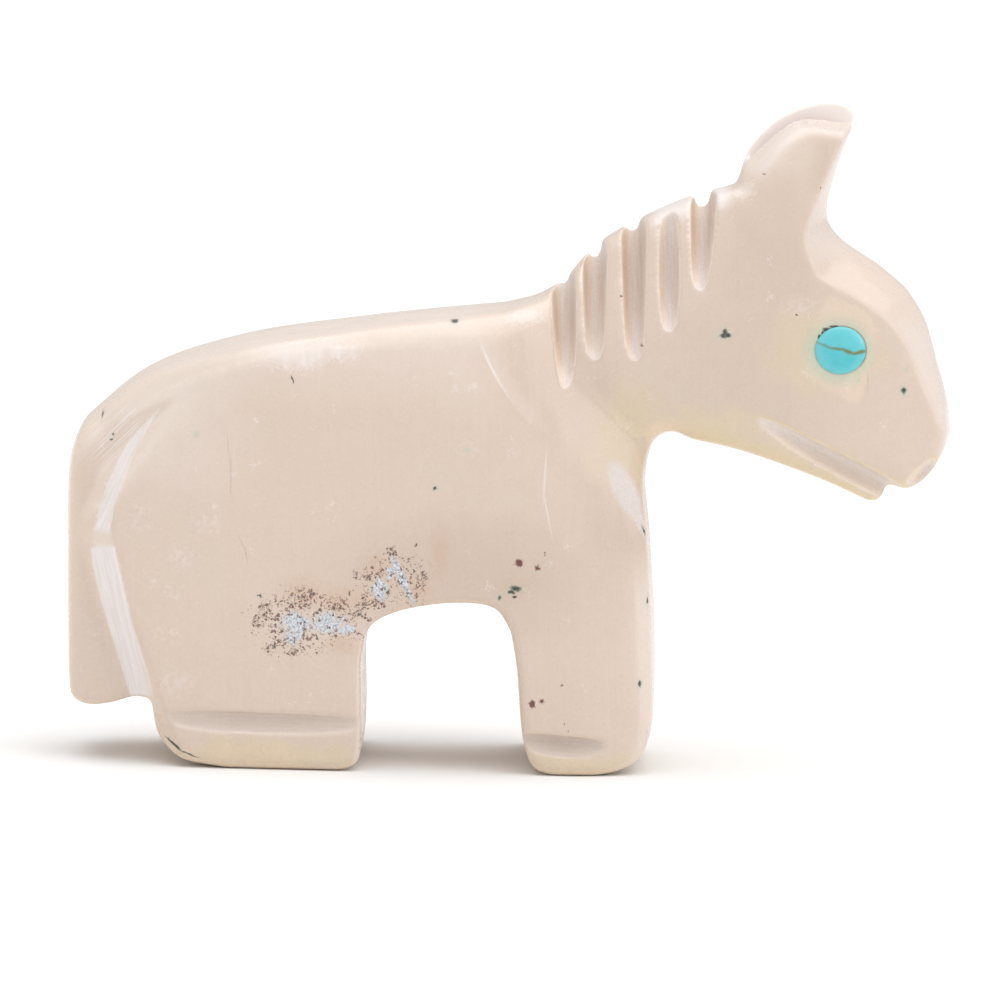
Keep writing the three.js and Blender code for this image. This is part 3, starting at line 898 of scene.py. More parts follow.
class HORSE_OT_carving(bpy.types.Operator):
    """Carve the horse from one piece of stone"""
    bl_idname = "horse.carving"
    bl_label = "Carve the Horse"

    def execute(self, context):
        sizes = context.scene.horse_sizes
        sides = Sides(sizes)
        carving = add_slab(sides)
        carving.name = "carved_horse"
        carving.data.name = "carved_horse"
        cut(carving, add_block(sides), "INTERSECT")
        for side in (-1, 1):
            for wall in sides.thigh_walls:
                cut(carving, add_recess(sides, wall, side))
        cut(carving, add_ear_top())
        use_modifier(carving, "REMESH", mode="VOXEL", voxel_size=ROUGH_GRAIN * QUICK_LOOK)
        use_modifier(carving, "SMOOTH", factor=0.5, iterations=3)
        for place, reach, rounds, outer_right in RUBBED_PLACES:
            soften(carving, place, reach, rounds, outer_right)
        deselect_all()
        rough = carving.copy()
        rough.data = carving.data.copy()
        context.collection.objects.link(rough)
        cut_grooves(carving, sides, sizes)
        cut_ears_and_legs(carving, sizes)
        use_modifier(carving, "REMESH", mode="VOXEL", voxel_size=FINE_GRAIN * QUICK_LOOK)
        use_modifier(carving, "SMOOTH", factor=0.5, iterations=4)
        triangles = 2 * len(carving.data.polygons)
        if triangles > MOST_TRIANGLES:
            use_modifier(carving, "DECIMATE", ratio=MOST_TRIANGLES / triangles)
        drill_sockets(carving, sides, sizes)
        mark_surface(carving, rough, sides)
        bpy.data.objects.remove(rough)
        to_metres(carving)
        bpy.ops.object.shade_smooth()
        carving.data.materials.clear()
        carving.data.materials.append(stone_material(context.scene.horse_finish))
        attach(carving, "root")
        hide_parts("carving")
        return {"FINISHED"}


# What is noted on the mesh: how deep a wheel has cut, from nothing to ground stone, how far an edge stands
# out, from none to one painted peach as lit through, and how much of the ground look the slot between the
# ears keeps
GROUND_DEPTHS = (0.03, 0.14)
PEACH_LIT_EDGES = (0.015, 0.06)
SLOT_SHARE = 0.15


def mark_surface(carving, rough, sides):
    """Notes on the mesh where a wheel has cut, where the thigh's walls lie and where edges stand out."""
    places = read_vectors(carving, "co")
    depths = nearest_depths(carving, rough)
    x, z = places[:, 0], places[:, 2]
    in_slot = (np.abs(places[:, 1]) < 0.6) & (x > 12) & (z > 33)
    ground = smooth_step(depths, *GROUND_DEPTHS) * np.where(in_slot, SLOT_SHARE, 1)
    write_attribute(carving, "ground", ground)
    wall = sides.wall(x, z)
    inside = np.minimum(sides.ground(x, z) - wall, wall - sides.beside_tail(x, z))
    near = smooth_step(np.abs(places[:, 1]) - wall, -0.35, -0.2)
    write_attribute(carving, "wall", smooth_step(inside, -0.02, 0.1) * near)
    # Where the head's front planes face up and forward, for a painted highlight
    normals = read_vectors(carving, "normal")
    tipped = smooth_step(1 - np.abs(normals[:, 1]), 0.12, 0.35)
    high = smooth_step(normals[:, 0] + normals[:, 2], 0.1, 0.5)
    head = smooth_step(x, 15.5, 16.5) * smooth_step(z, 17.5, 20)
    write_attribute(carving, "front", tipped * high * head)
    # Edges that stand out are later painted peach, as light coming through the stone
    write_attribute(carving, "edge", smooth_step(edge_standing_out(carving, places), *PEACH_LIT_EDGES))


class HORSE_OT_eyes(bpy.types.Operator):
    """Set a turquoise plug into each cheek"""
    bl_idname = "horse.eyes"
    bl_label = "Set the Eyes"

    def execute(self, context):
        sizes = context.scene.horse_sizes
        sides = Sides(sizes)
        radius = in_mm(sizes.eye) / 2
        dome = in_mm(sizes.eye_dome)
        rub = 0.06
        for side, name in ((-1, "eye_right"), (1, "eye_left")):
            rim = [(radius - rub, -EYE_DEPTH), (radius, -EYE_DEPTH + rub), (radius, 0)]
            for angle in range(6, 90, 6):
                turn = math.radians(angle)
                rim.append((radius * math.cos(turn), dome * math.sin(turn)))
            normal = sides.normal(EYE_PLACE, side)
            eye = add_lathe("turquoise_" + name, rim, 96, sides.on_side(EYE_PLACE, side),
                            normal, up_the_side(normal), EYE_SQUAT)
            to_metres(eye)
            bpy.ops.object.shade_smooth_by_angle(angle=math.radians(40))
            eye.data.materials.append(turquoise_material(context.scene.horse_finish))
            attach(eye, "root")
            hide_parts(name)
        return {"FINISHED"}


# Materials

def new_node(tree, kind, inputs=None, **settings):
    """A node with its settings and its inputs, each a value or another node's output."""
    node = tree.nodes.new(kind)
    for key, value in settings.items():
        setattr(node, key, value)
    for key, value in (inputs or {}).items():
        if isinstance(value, bpy.types.NodeSocket):
            tree.links.new(value, node.inputs[key])
        else:
            node.inputs[key].default_value = value
    return node


def combine(tree, operation, a, b=0.0, clamp=False):
    return new_node(tree, "ShaderNodeMath", {0: a, 1: b}, operation=operation, use_clamp=clamp).outputs[0]


def ramp(tree, value, low, high, start=0.0, end=1.0):
    """A soft step of a value from low to high."""
    node = new_node(
        tree, "ShaderNodeMapRange",
        {"Value": value, "From Min": low, "From Max": high, "To Min": start, "To Max": end},
        interpolation_type="SMOOTHSTEP")
    return node.outputs["Result"]


def tint(tree, mask, under, over):
    """One colour over another, where the mask says."""
    node = new_node(tree, "ShaderNodeMix", data_type="RGBA")
    for socket, value in ((node.inputs[0], mask), (node.inputs[6], under), (node.inputs[7], over)):
        if isinstance(value, bpy.types.NodeSocket):
            tree.links.new(value, socket)
        else:
            socket.default_value = value
    return node.outputs[2]


def new_group(name, inputs, outputs):
    """A node group with named sockets. Returns the group and its two end nodes."""
    group = bpy.data.node_groups.new(name, "ShaderNodeTree")
    for socket_name, kind, default in inputs:
        socket = group.interface.new_socket(socket_name, in_out="INPUT", socket_type="NodeSocket" + kind)
        socket.default_value = default
    for socket_name, kind in outputs:
        group.interface.new_socket(socket_name, in_out="OUTPUT", socket_type="NodeSocket" + kind)
    return group, group.nodes.new("NodeGroupInput"), group.nodes.new("NodeGroupOutput")


def soft_patches_group():
    """Soft cloudy patches, as a mask."""
    name = "Soft Patches"
    if name in bpy.data.node_groups:
        return bpy.data.node_groups[name]
    group, source, result = new_group(
        name,
        (("Place", "Vector", (0, 0, 0)), ("Stretch", "Vector", (1, 1, 1)), ("Size", "Float", 1),
         ("Detail", "Float", 2), ("Low", "Float", 0.4), ("High", "Float", 0.6)),
        (("Mask", "Float"),))
    stretched = new_node(group, "ShaderNodeVectorMath", {
        0: source.outputs["Place"], 1: source.outputs["Stretch"]}, operation="MULTIPLY").outputs[0]
    rate = combine(group, "DIVIDE", 1.0, source.outputs["Size"])
    cloud = new_node(group, "ShaderNodeTexNoise", {
        "Vector": stretched, "Scale": rate, "Detail": source.outputs["Detail"]}).outputs["Fac"]
    mask = ramp(group, cloud, source.outputs["Low"], source.outputs["High"])
    group.links.new(mask, result.inputs["Mask"])
    return group


def grit_group():
    """Small grains scattered over the side of the stone, as a mask and a random value for each."""
    name = "Grit"
    if name in bpy.data.node_groups:
        return bpy.data.node_groups[name]
    group, source, result = new_group(
        name,
        (("Place", "Vector", (0, 0, 0)), ("Spacing", "Float", 0.4), ("Size", "Float", 0.3),
         ("Share", "Float", 0.5)),
        (("Mask", "Float"), ("Random", "Float")))
    apart = new_node(group, "ShaderNodeSeparateXYZ", {0: source.outputs["Place"]})
    flat = new_node(group, "ShaderNodeCombineXYZ", {0: apart.outputs[0], 1: apart.outputs[2]})
    rate = combine(group, "DIVIDE", 1.0, source.outputs["Spacing"])
    cells = new_node(group, "ShaderNodeTexVoronoi", {"Vector": flat.outputs[0], "Scale": rate},
                     feature="F1", voronoi_dimensions="2D")
    random = new_node(group, "ShaderNodeSeparateColor", {0: cells.outputs["Color"]})
    chosen = combine(group, "LESS_THAN", random.outputs[0], source.outputs["Share"])
    reach = combine(group, "MULTIPLY", combine(group, "MULTIPLY", source.outputs["Size"], rate),
                    ramp(group, random.outputs[1], 0.0, 1.0, 0.4, 1.0))
    inside = combine(group, "SUBTRACT", 1.0, combine(group, "DIVIDE", cells.outputs["Distance"], reach))
    soft = ramp(group, inside, 0.0, 0.4)
    group.links.new(combine(group, "MULTIPLY", soft, chosen), result.inputs["Mask"])
    group.links.new(random.outputs[2], result.inputs["Random"])
    return group


def lines_group():
    """Fine lines side by side that run one way over the side of the stone, as a value from 0 to 1."""
    name = "Fine Lines"
    if name in bpy.data.node_groups:
        return bpy.data.node_groups[name]
    group, source, result = new_group(
        name,
        (("Place", "Vector", (0, 0, 0)), ("Turn", "Float", 0), ("Spacing", "Float", 0.2),
         ("Length", "Float", 4), ("Low", "Float", 0.4), ("High", "Float", 0.6)),
        (("Lines", "Float"),))
    turned = new_node(group, "ShaderNodeVectorRotate", {
        "Vector": source.outputs["Place"], "Angle": source.outputs["Turn"]}, rotation_type="Y_AXIS")
    apart = new_node(group, "ShaderNodeSeparateXYZ", {0: turned.outputs[0]})
    across = combine(group, "DIVIDE", apart.outputs[0], source.outputs["Spacing"])
    through = combine(group, "DIVIDE", apart.outputs[1], source.outputs["Length"])
    along = combine(group, "DIVIDE", apart.outputs[2], source.outputs["Length"])
    place = new_node(group, "ShaderNodeCombineXYZ", {0: across, 1: through, 2: along})
    streaks = noise(group, place.outputs[0], 1.0, 1.0).outputs["Fac"]
    step = new_node(group, "ShaderNodeMapRange", {
        "Value": streaks, "From Min": source.outputs["Low"],
        "From Max": source.outputs["High"]}).outputs["Result"]
    group.links.new(step, result.inputs["Lines"])
    return group


def place_in_mm(tree):
    """The object's own coordinates in millimetres."""
    source = tree.nodes.new("ShaderNodeTexCoord").outputs["Object"]
    return new_node(tree, "ShaderNodeVectorMath", {0: source, "Scale": 1 / MM}, operation="SCALE").outputs[0]


def use_group(tree, group, **inputs):
    """A group in a material. Underscores in the names stand for spaces."""
    node = tree.nodes.new("ShaderNodeGroup")
    node.node_tree = group
    for key, value in inputs.items():
        socket = node.inputs[key.replace("_", " ").title()]
        if isinstance(value, bpy.types.NodeSocket):
            tree.links.new(value, socket)
        else:
            socket.default_value = value
    return node


def new_material(name):
    material = bpy.data.materials.new(name)
    material.use_nodes = True
    return material, material.node_tree, material.node_tree.nodes["Principled BSDF"]


# The natural marks of the right side, as places in the profile's own measure: the middle of a spot,
# its width and its height
DARK_SPOTS = (
    ((-3.28, 25.48), 0.42, 0.36), ((-4.14, 16.17), 0.2, 0.2), ((11.88, 25.12), 0.26, 0.4),
    ((11.79, 24.93), 0.36, 0.26), ((12.04, 24.96), 0.34, 0.26), ((22.02, 22.02), 0.26, 0.36),
    ((-22.27, 18.57), 0.12, 0.16), ((-22.4, 18.28), 0.14, 0.1), ((7.91, 9.93), 0.09, 0.4),
    ((7.58, 5.24), 0.16, 0.34), ((0.5, 10.62), 0.6, 0.3), ((0.25, 10.4), 0.4, 0.2),
    ((-0.4, 10.1), 0.16, 0.24), ((0.45, 10.15), 0.24, 0.14),
)
BROWN_SPOTS = (
    ((1.56, 4.1), 0.34, 0.4), ((2.11, 4.26), 0.26, 0.3), ((3.21, 5.19), 0.12, 0.18),
    ((3.4, 3.0), 0.1, 0.2), ((3.61, 2.6), 0.08, 0.1), ((0.64, 12.07), 0.42, 0.44),
    ((1.65, 11.81), 0.3, 0.26), ((2.08, 12.61), 0.12, 0.16), ((13.95, 33.87), 0.12, 0.1),
    ((17.06, 33.21), 0.09, 0.09), ((18.02, 32.95), 0.09, 0.09), ((15.86, 26.14), 0.1, 0.1),
    ((-5.15, 12.95), 0.1, 0.24), ((7.24, 24.26), 0.16, 0.2), ((6.11, 26.93), 0.14, 0.16),
)
FAINT_SPOTS = (
    ((-17.53, 18.84), 0.34, 0.36), ((22.15, 23.2), 0.22, 0.3), ((19.43, 22.52), 0.24, 0.26),
    ((-2.35, 18.35), 0.5, 0.28), ((-0.38, 10.13), 0.3, 0.34),
)
# Thin dark lines: both ends, and the width in the middle
DARK_LINES = (
    ((-22.92, 20.35), (-22.98, 19.45), 0.13), ((-12.28, 22.25), (-12.16, 21.85), 0.09),
    ((-15.6, 24.44), (-14.8, 24.32), 0.1), ((7.5, 14.1), (7.95, 13.2), 0.12),
    ((-18.95, 1.65), (-18.05, 0.95), 0.15), ((-18.2, 1.0), (-17.1, 0.6), 0.07),
)
HAIRLINES = (
    ((-15.8, 19.1), (-15.68, 17.4), 0.05), ((-15.6, 17.7), (-15.52, 16.2), 0.07),
    ((-15.6, 16.4), (-15.5, 15.3), 0.05), ((-15.1, 13.3), (-14.66, 12.4), 0.05),
    ((-14.7, 12.6), (-14.52, 11.6), 0.07), ((19.94, 23.1), (19.97, 21.9), 0.06),
)
# Crystal that shows through near the belly, with grit and stains round it
CRYSTAL_SPOTS = (
    ((-11.75, 8.44), 1.7, 1.2), ((-12.0, 7.62), 1.1, 0.82), ((-10.0, 8.41), 1.6, 1.2),
    ((-8.98, 8.09), 1.1, 0.48), ((-7.08, 10.4), 0.85, 1.2), ((-6.47, 11.37), 0.5, 0.6),
)
CRYSTAL_LINES = (
    ((-6.45, 12.3), (-5.95, 11.3), 0.4), ((-6.2, 11.8), (-5.6, 10.45), 0.42),
    ((-5.8, 10.9), (-5.25, 9.7), 0.28),
)
GRIT_SPOTS = (
    ((-13.47, 9.07), 0.82, 1.2), ((-13.96, 8.38), 0.55, 0.82), ((-11.37, 9.8), 1.5, 1.1),
    ((-12.23, 9.1), 0.9, 0.9), ((-9.68, 9.5), 1.5, 0.96), ((-8.33, 9.06), 0.96, 0.82),
    ((-8.51, 11.22), 0.48, 0.61), ((-7.9, 11.1), 0.75, 0.48), ((-6.52, 12.4), 0.7, 0.9),
    ((-4.68, 11.17), 0.55, 0.82), ((-4.94, 10.69), 0.41, 0.55), ((-7.13, 11.32), 0.68, 0.55),
    ((-7.27, 9.59), 0.82, 0.55), ((-7.94, 9.81), 0.41, 0.68), ((-11.76, 6.77), 0.82, 0.48),
    ((-12.53, 7.27), 0.7, 0.7), ((-13.13, 6.91), 0.82, 0.68),
)
SPREAD_GRIT = (
    ((-11.6, 8.4), 4.6, 3.4), ((-9.4, 8.7), 3.6, 2.4), ((-6.9, 10.7), 2.2, 2.4),
    ((-5.6, 10.9), 1.8, 2.6),
)
STAIN_SPOTS = (
    ((-11.44, 10.14), 2.2, 1.5), ((-9.23, 7.14), 1.5, 0.96), ((-7.44, 11.78), 1.5, 1.2),
    ((-5.0, 10.42), 1.5, 1.1), ((-3.83, 12.41), 0.9, 2.4), ((-9.2, 9.8), 3.4, 1.4),
    ((0.4, 10.6), 1.6, 1.2),
)
# Yellowish stone round the throat, under the jaw and round the eye
YELLOW_SPOTS = (
    ((6.9, 18.9), 4.2, 5.0), ((10.5, 19.6), 7.0, 2.2), ((14.0, 17.9), 8.0, 1.6),
    ((17.6, 24.0), 5.4, 3.8), ((18.6, 16.5), 5.0, 1.6), ((-13.5, 0.8), 12.0, 1.6),
    ((5.0, 0.6), 8.0, 1.6),
)
# Broad places laid a little darker: painted shade on the belly, the shoulder, the chest and under the jaw,
# and a darker tone on the neck behind the ear and on the cheek
SHADE_SPOTS = (
    ((-2.4, 11.0), 13.0, 6.0), ((14.6, 29.6), 6.0, 8.0), ((14.0, 23.5), 9.0, 7.0),
    ((2.9, 21.6), 4.4, 4.6), ((6.2, 13.0), 3.6, 8.0), ((18.2, 16.2), 7.0, 2.0),
)
# Painted shade on the lower belly again, painted light on the rump, and painted shade in the ear's cup as a
# line
BELLY_SHADE = (((-2.2, 11.6), 11.0, 5.0),)
RUMP_PAINTED_LIGHT = (((-18.8, 18.2), 7.0, 5.0),)
EAR_CUP_SHADE = (((16.3, 32.9), (18.3, 36.3), 1.5),)
# Chalky places that the polish missed; those on the back and at the withers are partly painted highlights
CHALK_AND_HIGHLIGHT_SPOTS = (
    ((0.5, 25.75), 2.2, 0.7), ((-11.2, 23.7), 5.2, 1.1), ((-12.0, 23.3), 3.0, 1.4),
    ((12.6, 33.0), 1.6, 0.9),
)
# Faint small scuffs
FAINT_CHALK = (
    ((16.0, 26.5), 1.8, 1.0), ((-20.6, 14.0), 1.0, 1.6), ((-16.8, 13.9), 1.6, 0.8),
    ((-18.3, 11.9), 1.2, 1.4), ((-18.6, 10.0), 0.9, 0.9), ((-18.5, 4.9), 1.8, 1.6),
    ((-19.0, 7.5), 1.4, 0.7), ((-2.3, 18.4), 1.0, 0.7), ((6.2, 19.6), 1.2, 0.5),
)
# The scuff on the chest, the painted highlight along the foreleg's ridge and the scratched place beside the
# tail
CHEST_SCUFF = (((5.65, 17.7), (7.3, 14.6), 1.25), ((6.5, 16.2), (7.85, 13.4), 0.55))
FORELEG_HIGHLIGHTS = (((2.02, 18.0), (1.93, 15.7), 0.1), ((1.92, 16.0), (2.4, 13.8), 0.09))
SCRATCHED = (((-22.5, 18.3), 2.0, 2.6), ((-21.6, 19.1), 2.0, 1.8))
# The brown vein across the right eye
VEIN = (
    ((16.95, 24.7), (17.95, 24.33), 0.15), ((17.5, 24.42), (18.8, 24.26), 0.16),
    ((18.4, 24.31), (19.2, 24.05), 0.19), ((18.9, 24.07), (19.9, 24.24), 0.19),
)
# The dark rim above and behind the right eye, the plug's own outline and the greenish halo round it
DARK_RIM = (
    ((17.6, 25.36), 0.54, 0.28), ((17.2, 24.92), 0.2, 0.36), ((18.0, 25.55), 0.6, 0.14),
    ((17.38, 25.16), 0.24, 0.26),
)
# The plug's outline also carries a painted shadow round the plug, darkest on its upper right
EYE_OUTLINE = ((EYE_PLACE, 2.86, 2.66),)
EYE_HALO = (((18.25, 24.2), 3.2, 3.0),)


def nearest_spot(tree, place, spots):
    """How far a place lies from the nearest of some upright spots: 1 at a spot's edge."""
    nearest = 20.0
    for centre, width, height in spots:
        x, z = flat_place(centre)
        across, up = 2 / width, 2 / height
        scaled = new_node(tree, "ShaderNodeVectorMath", {
            0: place, 1: (across, 0, up), 2: (-x * across, 0, -z * up)}, operation="MULTIPLY_ADD").outputs[0]
        far = new_node(tree, "ShaderNodeVectorMath", {0: scaled}, operation="LENGTH").outputs["Value"]
        nearest = combine(tree, "MINIMUM", far, nearest)
    return nearest


def nearest_line(tree, place, lines):
    """How far a place lies from the nearest of some thin pointed lines: 1 at a line's edge."""
    nearest = 20.0
    for start, end, width in lines:
        start, end = flat_place(start), flat_place(end)
        middle = (start + end) / 2
        run = end - start
        scaled = new_node(tree, "ShaderNodeMapping", {
            "Vector": place, "Location": (middle[0], 0, middle[1]),
            "Rotation": (0, -math.atan2(run[1], run[0]), 0),
            "Scale": (np.linalg.norm(run) / 2, 1e6, width / 2)}, vector_type="TEXTURE").outputs[0]
        far = new_node(tree, "ShaderNodeVectorMath", {0: scaled}, operation="LENGTH").outputs["Value"]
        nearest = combine(tree, "MINIMUM", far, nearest)
    return nearest


def mark(tree, nearest, soft=0.4):
    """The marks themselves, from the distance to the nearest of them."""
    return ramp(tree, nearest, 1 - soft, 1 + soft, 1.0, 0.0)


def attribute(tree, name):
    return new_node(tree, "ShaderNodeAttribute", attribute_name=name).outputs["Fac"]


def multiply(tree, *values):
    result = values[0]
    for value in values[1:]:
        result = combine(tree, "MULTIPLY", result, value)
    return result


def most(tree, *values):
    result = values[0]
    for value in values[1:]:
        result = combine(tree, "MAXIMUM", result, value)
    return result


def noise(tree, place, size, detail=0.0):
    """Soft noise of a size in millimetres."""
    return new_node(tree, "ShaderNodeTexNoise", {"Vector": place, "Scale": 1 / size, "Detail": detail})


def moved(tree, place, jitter, reach):
    """The place moved about at random, which frays the edges of a mark."""
    shift = new_node(tree, "ShaderNodeVectorMath", {0: jitter, 1: (reach,) * 3, 2: (-reach / 2,) * 3},
                     operation="MULTIPLY_ADD").outputs[0]
    return new_node(tree, "ShaderNodeVectorMath", {0: place, 1: shift}, operation="ADD").outputs[0]


# Soft borders of the places that are painted by where they lie or by the way they face. Each border
# names a value, where the mask is still nothing and where it is full
RIGHT_SIDE = (("y", -0.6, -1.2), ("faces_y", -0.2, -0.45))
LEFT_SIDE = (("faces_y", 0.2, 0.45),)
BACK = (("faces_z", 0.02, 0.32), ("x", 0.0, -3.0))
TOP = (("faces_z", 0.4, 0.8), ("x", 15.0, 13.5))
BACK_OF_EARS = (("faces_x", -0.09, -0.3), ("z", 33.0, 34.5))
FRONT_OF_LEG = (("faces_x", 0.3, 0.6), ("z", 13.0, 9.0))
FRONT_OF_SHOULDER = (("faces_x", 0.15, 0.45), ("x", 9.0, 8.0), ("z", 12.0, 14.0))
UNDERSIDES = (("faces_z", -0.25, -0.7),)
HINDMOST_EDGES = (("faces_x", -0.35, -0.9),)
EDGE_OF_TAIL = (("x", -23.9, -25.0), ("z", 20.0, 18.0))
UNDER_JAW = (("faces_z", -0.15, -0.6), ("x", 9.5, 11.0))
HOOF_GROOVES = (("z", 3.7, 3.4),)
IN_MOUTH = (("x", 12.5, 13.0), ("z", 21.5, 21.0))
LOWER_LIP = (*IN_MOUTH, ("faces_z", -0.1, 0.5))
BEHIND_THIGH = (("x", -15.0, -16.0),)
EAR_SLOT = (("off_middle", 0.7, 0.5), ("x", 12.0, 12.5), ("z", 33.5, 34.5))
TOP_OF_CREST = (("faces_z", 0.3, 0.55), ("x", 7.4, 8.2), ("x", 12.4, 11.6), ("z", 29.5, 30.5))
UPPER_BAND = (("z", 12.9, 13.5), ("z", 20.4, 18.6))
LOWER_BAND = (("z", 12.6, 12.2), ("z", 3.3, 3.7))
BETWEEN_BANDS = (("z", 12.2, 12.5), ("z", 13.6, 13.1))

# Painted light and shade, laid over the stone by the way it faces: the colour, and each place with its
# strength.
# Faces turned up or forward and the backs of the ears are painted lighter, the front of the shoulder darker,
# and the undersides, hindmost edges, tail's edge and jaw's underside are painted with peach and yellow light
LIGHT_AND_SHADE_BY_FACING = (
    ("chalk_and_painted_light", ((BACK, 0.45), (TOP, 0.25), (FRONT_OF_LEG, 0.5), (BACK_OF_EARS, 0.8))),
    ("shade", ((FRONT_OF_SHOULDER, 0.4),)),
    ("peach", ((UNDERSIDES, 0.35), (HINDMOST_EDGES, 0.35), (EDGE_OF_TAIL, 0.4))),
    ("yellow", ((UNDER_JAW, 0.8),)),
)
# Broad soft places: the colour, the places, how soft their edges are and their strength: painted shade on the
# belly, painted light on the rump, and the yellowish stone
BROAD_TINTS = (
    ("shade", BELLY_SHADE, 0.9, 0.3), ("chalk_and_painted_light", RUMP_PAINTED_LIGHT, 0.9, 0.25), ("yellow", YELLOW_SPOTS, 0.8, 0.62),
)

# The way the wheel's lines run, as turns from upright: in general, in the hoof grooves and in the mouth, and
# in the lower and the upper band, which meet at the height of the thigh's corner
UPRIGHT_TURN = 0.05
HOOF_TURN = 1.57
MOUTH_TURN = 1.12
BAND_TURNS = (0.2, -0.45)
THIGH_CORNER = (12.64, 12.66)
SCRATCH_TURN = -0.78
MIDDLE_OF_FRONT = 27.5


class StonePaint:
    """Cream stone, polished by hand: its colours laid one over another, its shine and its relief."""

    def __init__(self, finish):
        self.finish = finish
        self.material, self.tree, self.shader = new_material("Cream stone")
        tree = self.tree
        self.place = place_in_mm(tree)
        self.x, self.y, self.z = new_node(tree, "ShaderNodeSeparateXYZ", {0: self.place}).outputs
        self.off_middle = combine(tree, "ABSOLUTE", self.y)
        normal = new_node(tree, "ShaderNodeTexCoord").outputs["Normal"]
        self.faces_x, self.faces_y, self.faces_z = new_node(
            tree, "ShaderNodeSeparateXYZ", {0: normal}).outputs
        self.right = self.where(RIGHT_SIDE)
        jitter = noise(tree, self.place, 0.22, 1.0).outputs["Color"]
        crumble = noise(tree, self.place, 0.1)
        self.crumble = crumble.outputs["Color"]
        self.grain = ramp(tree, crumble.outputs["Fac"], 0.4, 0.62)
        self.uneven = moved(tree, self.place, jitter, 0.13)
        self.ragged = moved(tree, self.place, jitter, 0.26)
        self.crumbly = moved(tree, self.ragged, self.crumble, 0.17)
        self.frayed = moved(tree, self.place, jitter, 1.3)
        drift = noise(tree, self.place, 1.6, 1.0).outputs["Color"]
        self.soft_edge = moved(tree, self.place, drift, 2.4)
        self.sparkle = noise(tree, self.place, 0.28, 2.0).outputs["Fac"]
        self.ground = attribute(tree, "ground")
        self.wall = attribute(tree, "wall")
        self.between = self.where(BETWEEN_BANDS)
        self.colour = self.shade_of("stone")

    def shade_of(self, name):
        return tuple(getattr(self.finish, name))

    def where(self, borders):
        """1 inside all of some soft borders, and 0 outside any of them."""
        masks = []
        for name, nothing, full in borders:
            value = getattr(self, name)
            if nothing < full:
                masks.append(ramp(self.tree, value, nothing, full))
            else:
                masks.append(ramp(self.tree, value, full, nothing, 1.0, 0.0))
        return multiply(self.tree, *masks)

    def spots(self, place, spots, soft=0.4):
        return mark(self.tree, nearest_spot(self.tree, place, spots), soft)

    def lines(self, place, lines, soft=0.4):
        return mark(self.tree, nearest_line(self.tree, place, lines), soft)

    def lay(self, colour, mask, strength=1.0):
        """Lays a colour over what is there. It is a node's output, or the name of one of the finish's."""
        if isinstance(colour, str):
            colour = self.shade_of(colour)
        self.colour = tint(self.tree, multiply(self.tree, mask, strength), self.colour, colour)

    def paint_body(self):
        """The stone itself, with its soft clouds, the polish lines up and down its sides, and the light and
        shade painted on it by place and by the way it faces.
        """
        tree = self.tree
        clouds = use_group(tree, soft_patches_group(), place=self.place, stretch=(1, 1, 1.2), size=7.0,
                           detail=2.0, low=0.35, high=0.65).outputs["Mask"]
        self.fine_clouds = use_group(tree, soft_patches_group(), place=self.place, stretch=(1, 1, 1),
                                     size=0.9, detail=2.0, low=0.3, high=0.7).outputs["Mask"]
        polish = use_group(tree, lines_group(), place=self.place, turn=UPRIGHT_TURN, spacing=0.35, length=5.0,
                           low=0.35, high=0.7).outputs["Lines"]
        sideways = ramp(tree, combine(tree, "ABSOLUTE", self.faces_y), 0.75, 0.95)
        self.polish = multiply(tree, polish, sideways)
        self.lay("warm", clouds, 0.2)
        self.lay("chalk_and_painted_light", combine(tree, "ADD", self.fine_clouds, self.polish), 0.03)
        # Painted shade over broad places and in the cup of the ear
        shaded = most(tree, self.spots(self.soft_edge, SHADE_SPOTS, 0.9),
                      self.lines(self.place, EAR_CUP_SHADE, 0.8))
        self.lay("shade", shaded, 0.3)
        # Painted shade on the belly, painted light on the rump, and the yellowish stone
        for colour, spots, soft, strength in BROAD_TINTS:
            self.lay(colour, self.spots(self.soft_edge, spots, soft), strength)
        flecks = use_group(tree, grit_group(), place=self.frayed, spacing=1.1, size=0.2, share=0.12)
        self.lay("white", flecks.outputs["Mask"], 0.3)
        # Painted light and shade by the way the stone faces
        for colour, places in LIGHT_AND_SHADE_BY_FACING:
            masks = [multiply(tree, self.where(borders), strength) for borders, strength in places]
            self.lay(colour, most(tree, *masks))

    def paint_grooves(self):
        """What the wheels ground and nobody polished. The wheel's lines run along each groove, and the
        light comes peach through the grooves' walls and through the stone's edges."""
        tree = self.tree
        low = self.where(HOOF_GROOVES)
        high = combine(tree, "SUBTRACT", 1.0, low)
        in_mouth = self.where(IN_MOUTH)
        turn = most(tree, multiply(tree, low, HOOF_TURN), multiply(tree, in_mouth, MOUTH_TURN), UPRIGHT_TURN)
        band_turn = multiply(tree, self.where(BEHIND_THIGH), high,
                             ramp(tree, self.z, *THIGH_CORNER, *BAND_TURNS))
        self.wheel_lines = use_group(
            tree, lines_group(), place=self.place, turn=combine(tree, "ADD", turn, band_turn), spacing=0.1,
            length=2.4, low=0.33, high=0.66).outputs["Lines"]
        floor = tint(tree, self.wheel_lines, self.shade_of("ground"), self.shade_of("ground_light"))
        # Painted light: walls of the grooves that face the nose, and the lower lip, are laid peach
        lit = most(tree, ramp(tree, self.faces_x, 0.1, 0.6), self.where(LOWER_LIP))
        for colour, mask, strength in (
                ("peach", lit, 0.6), ("white", in_mouth, 0.15), ("shade", self.grain, 0.18)):
            floor = tint(tree, multiply(tree, mask, strength), floor, self.shade_of(colour))
        self.lay(floor, self.ground, 0.85)
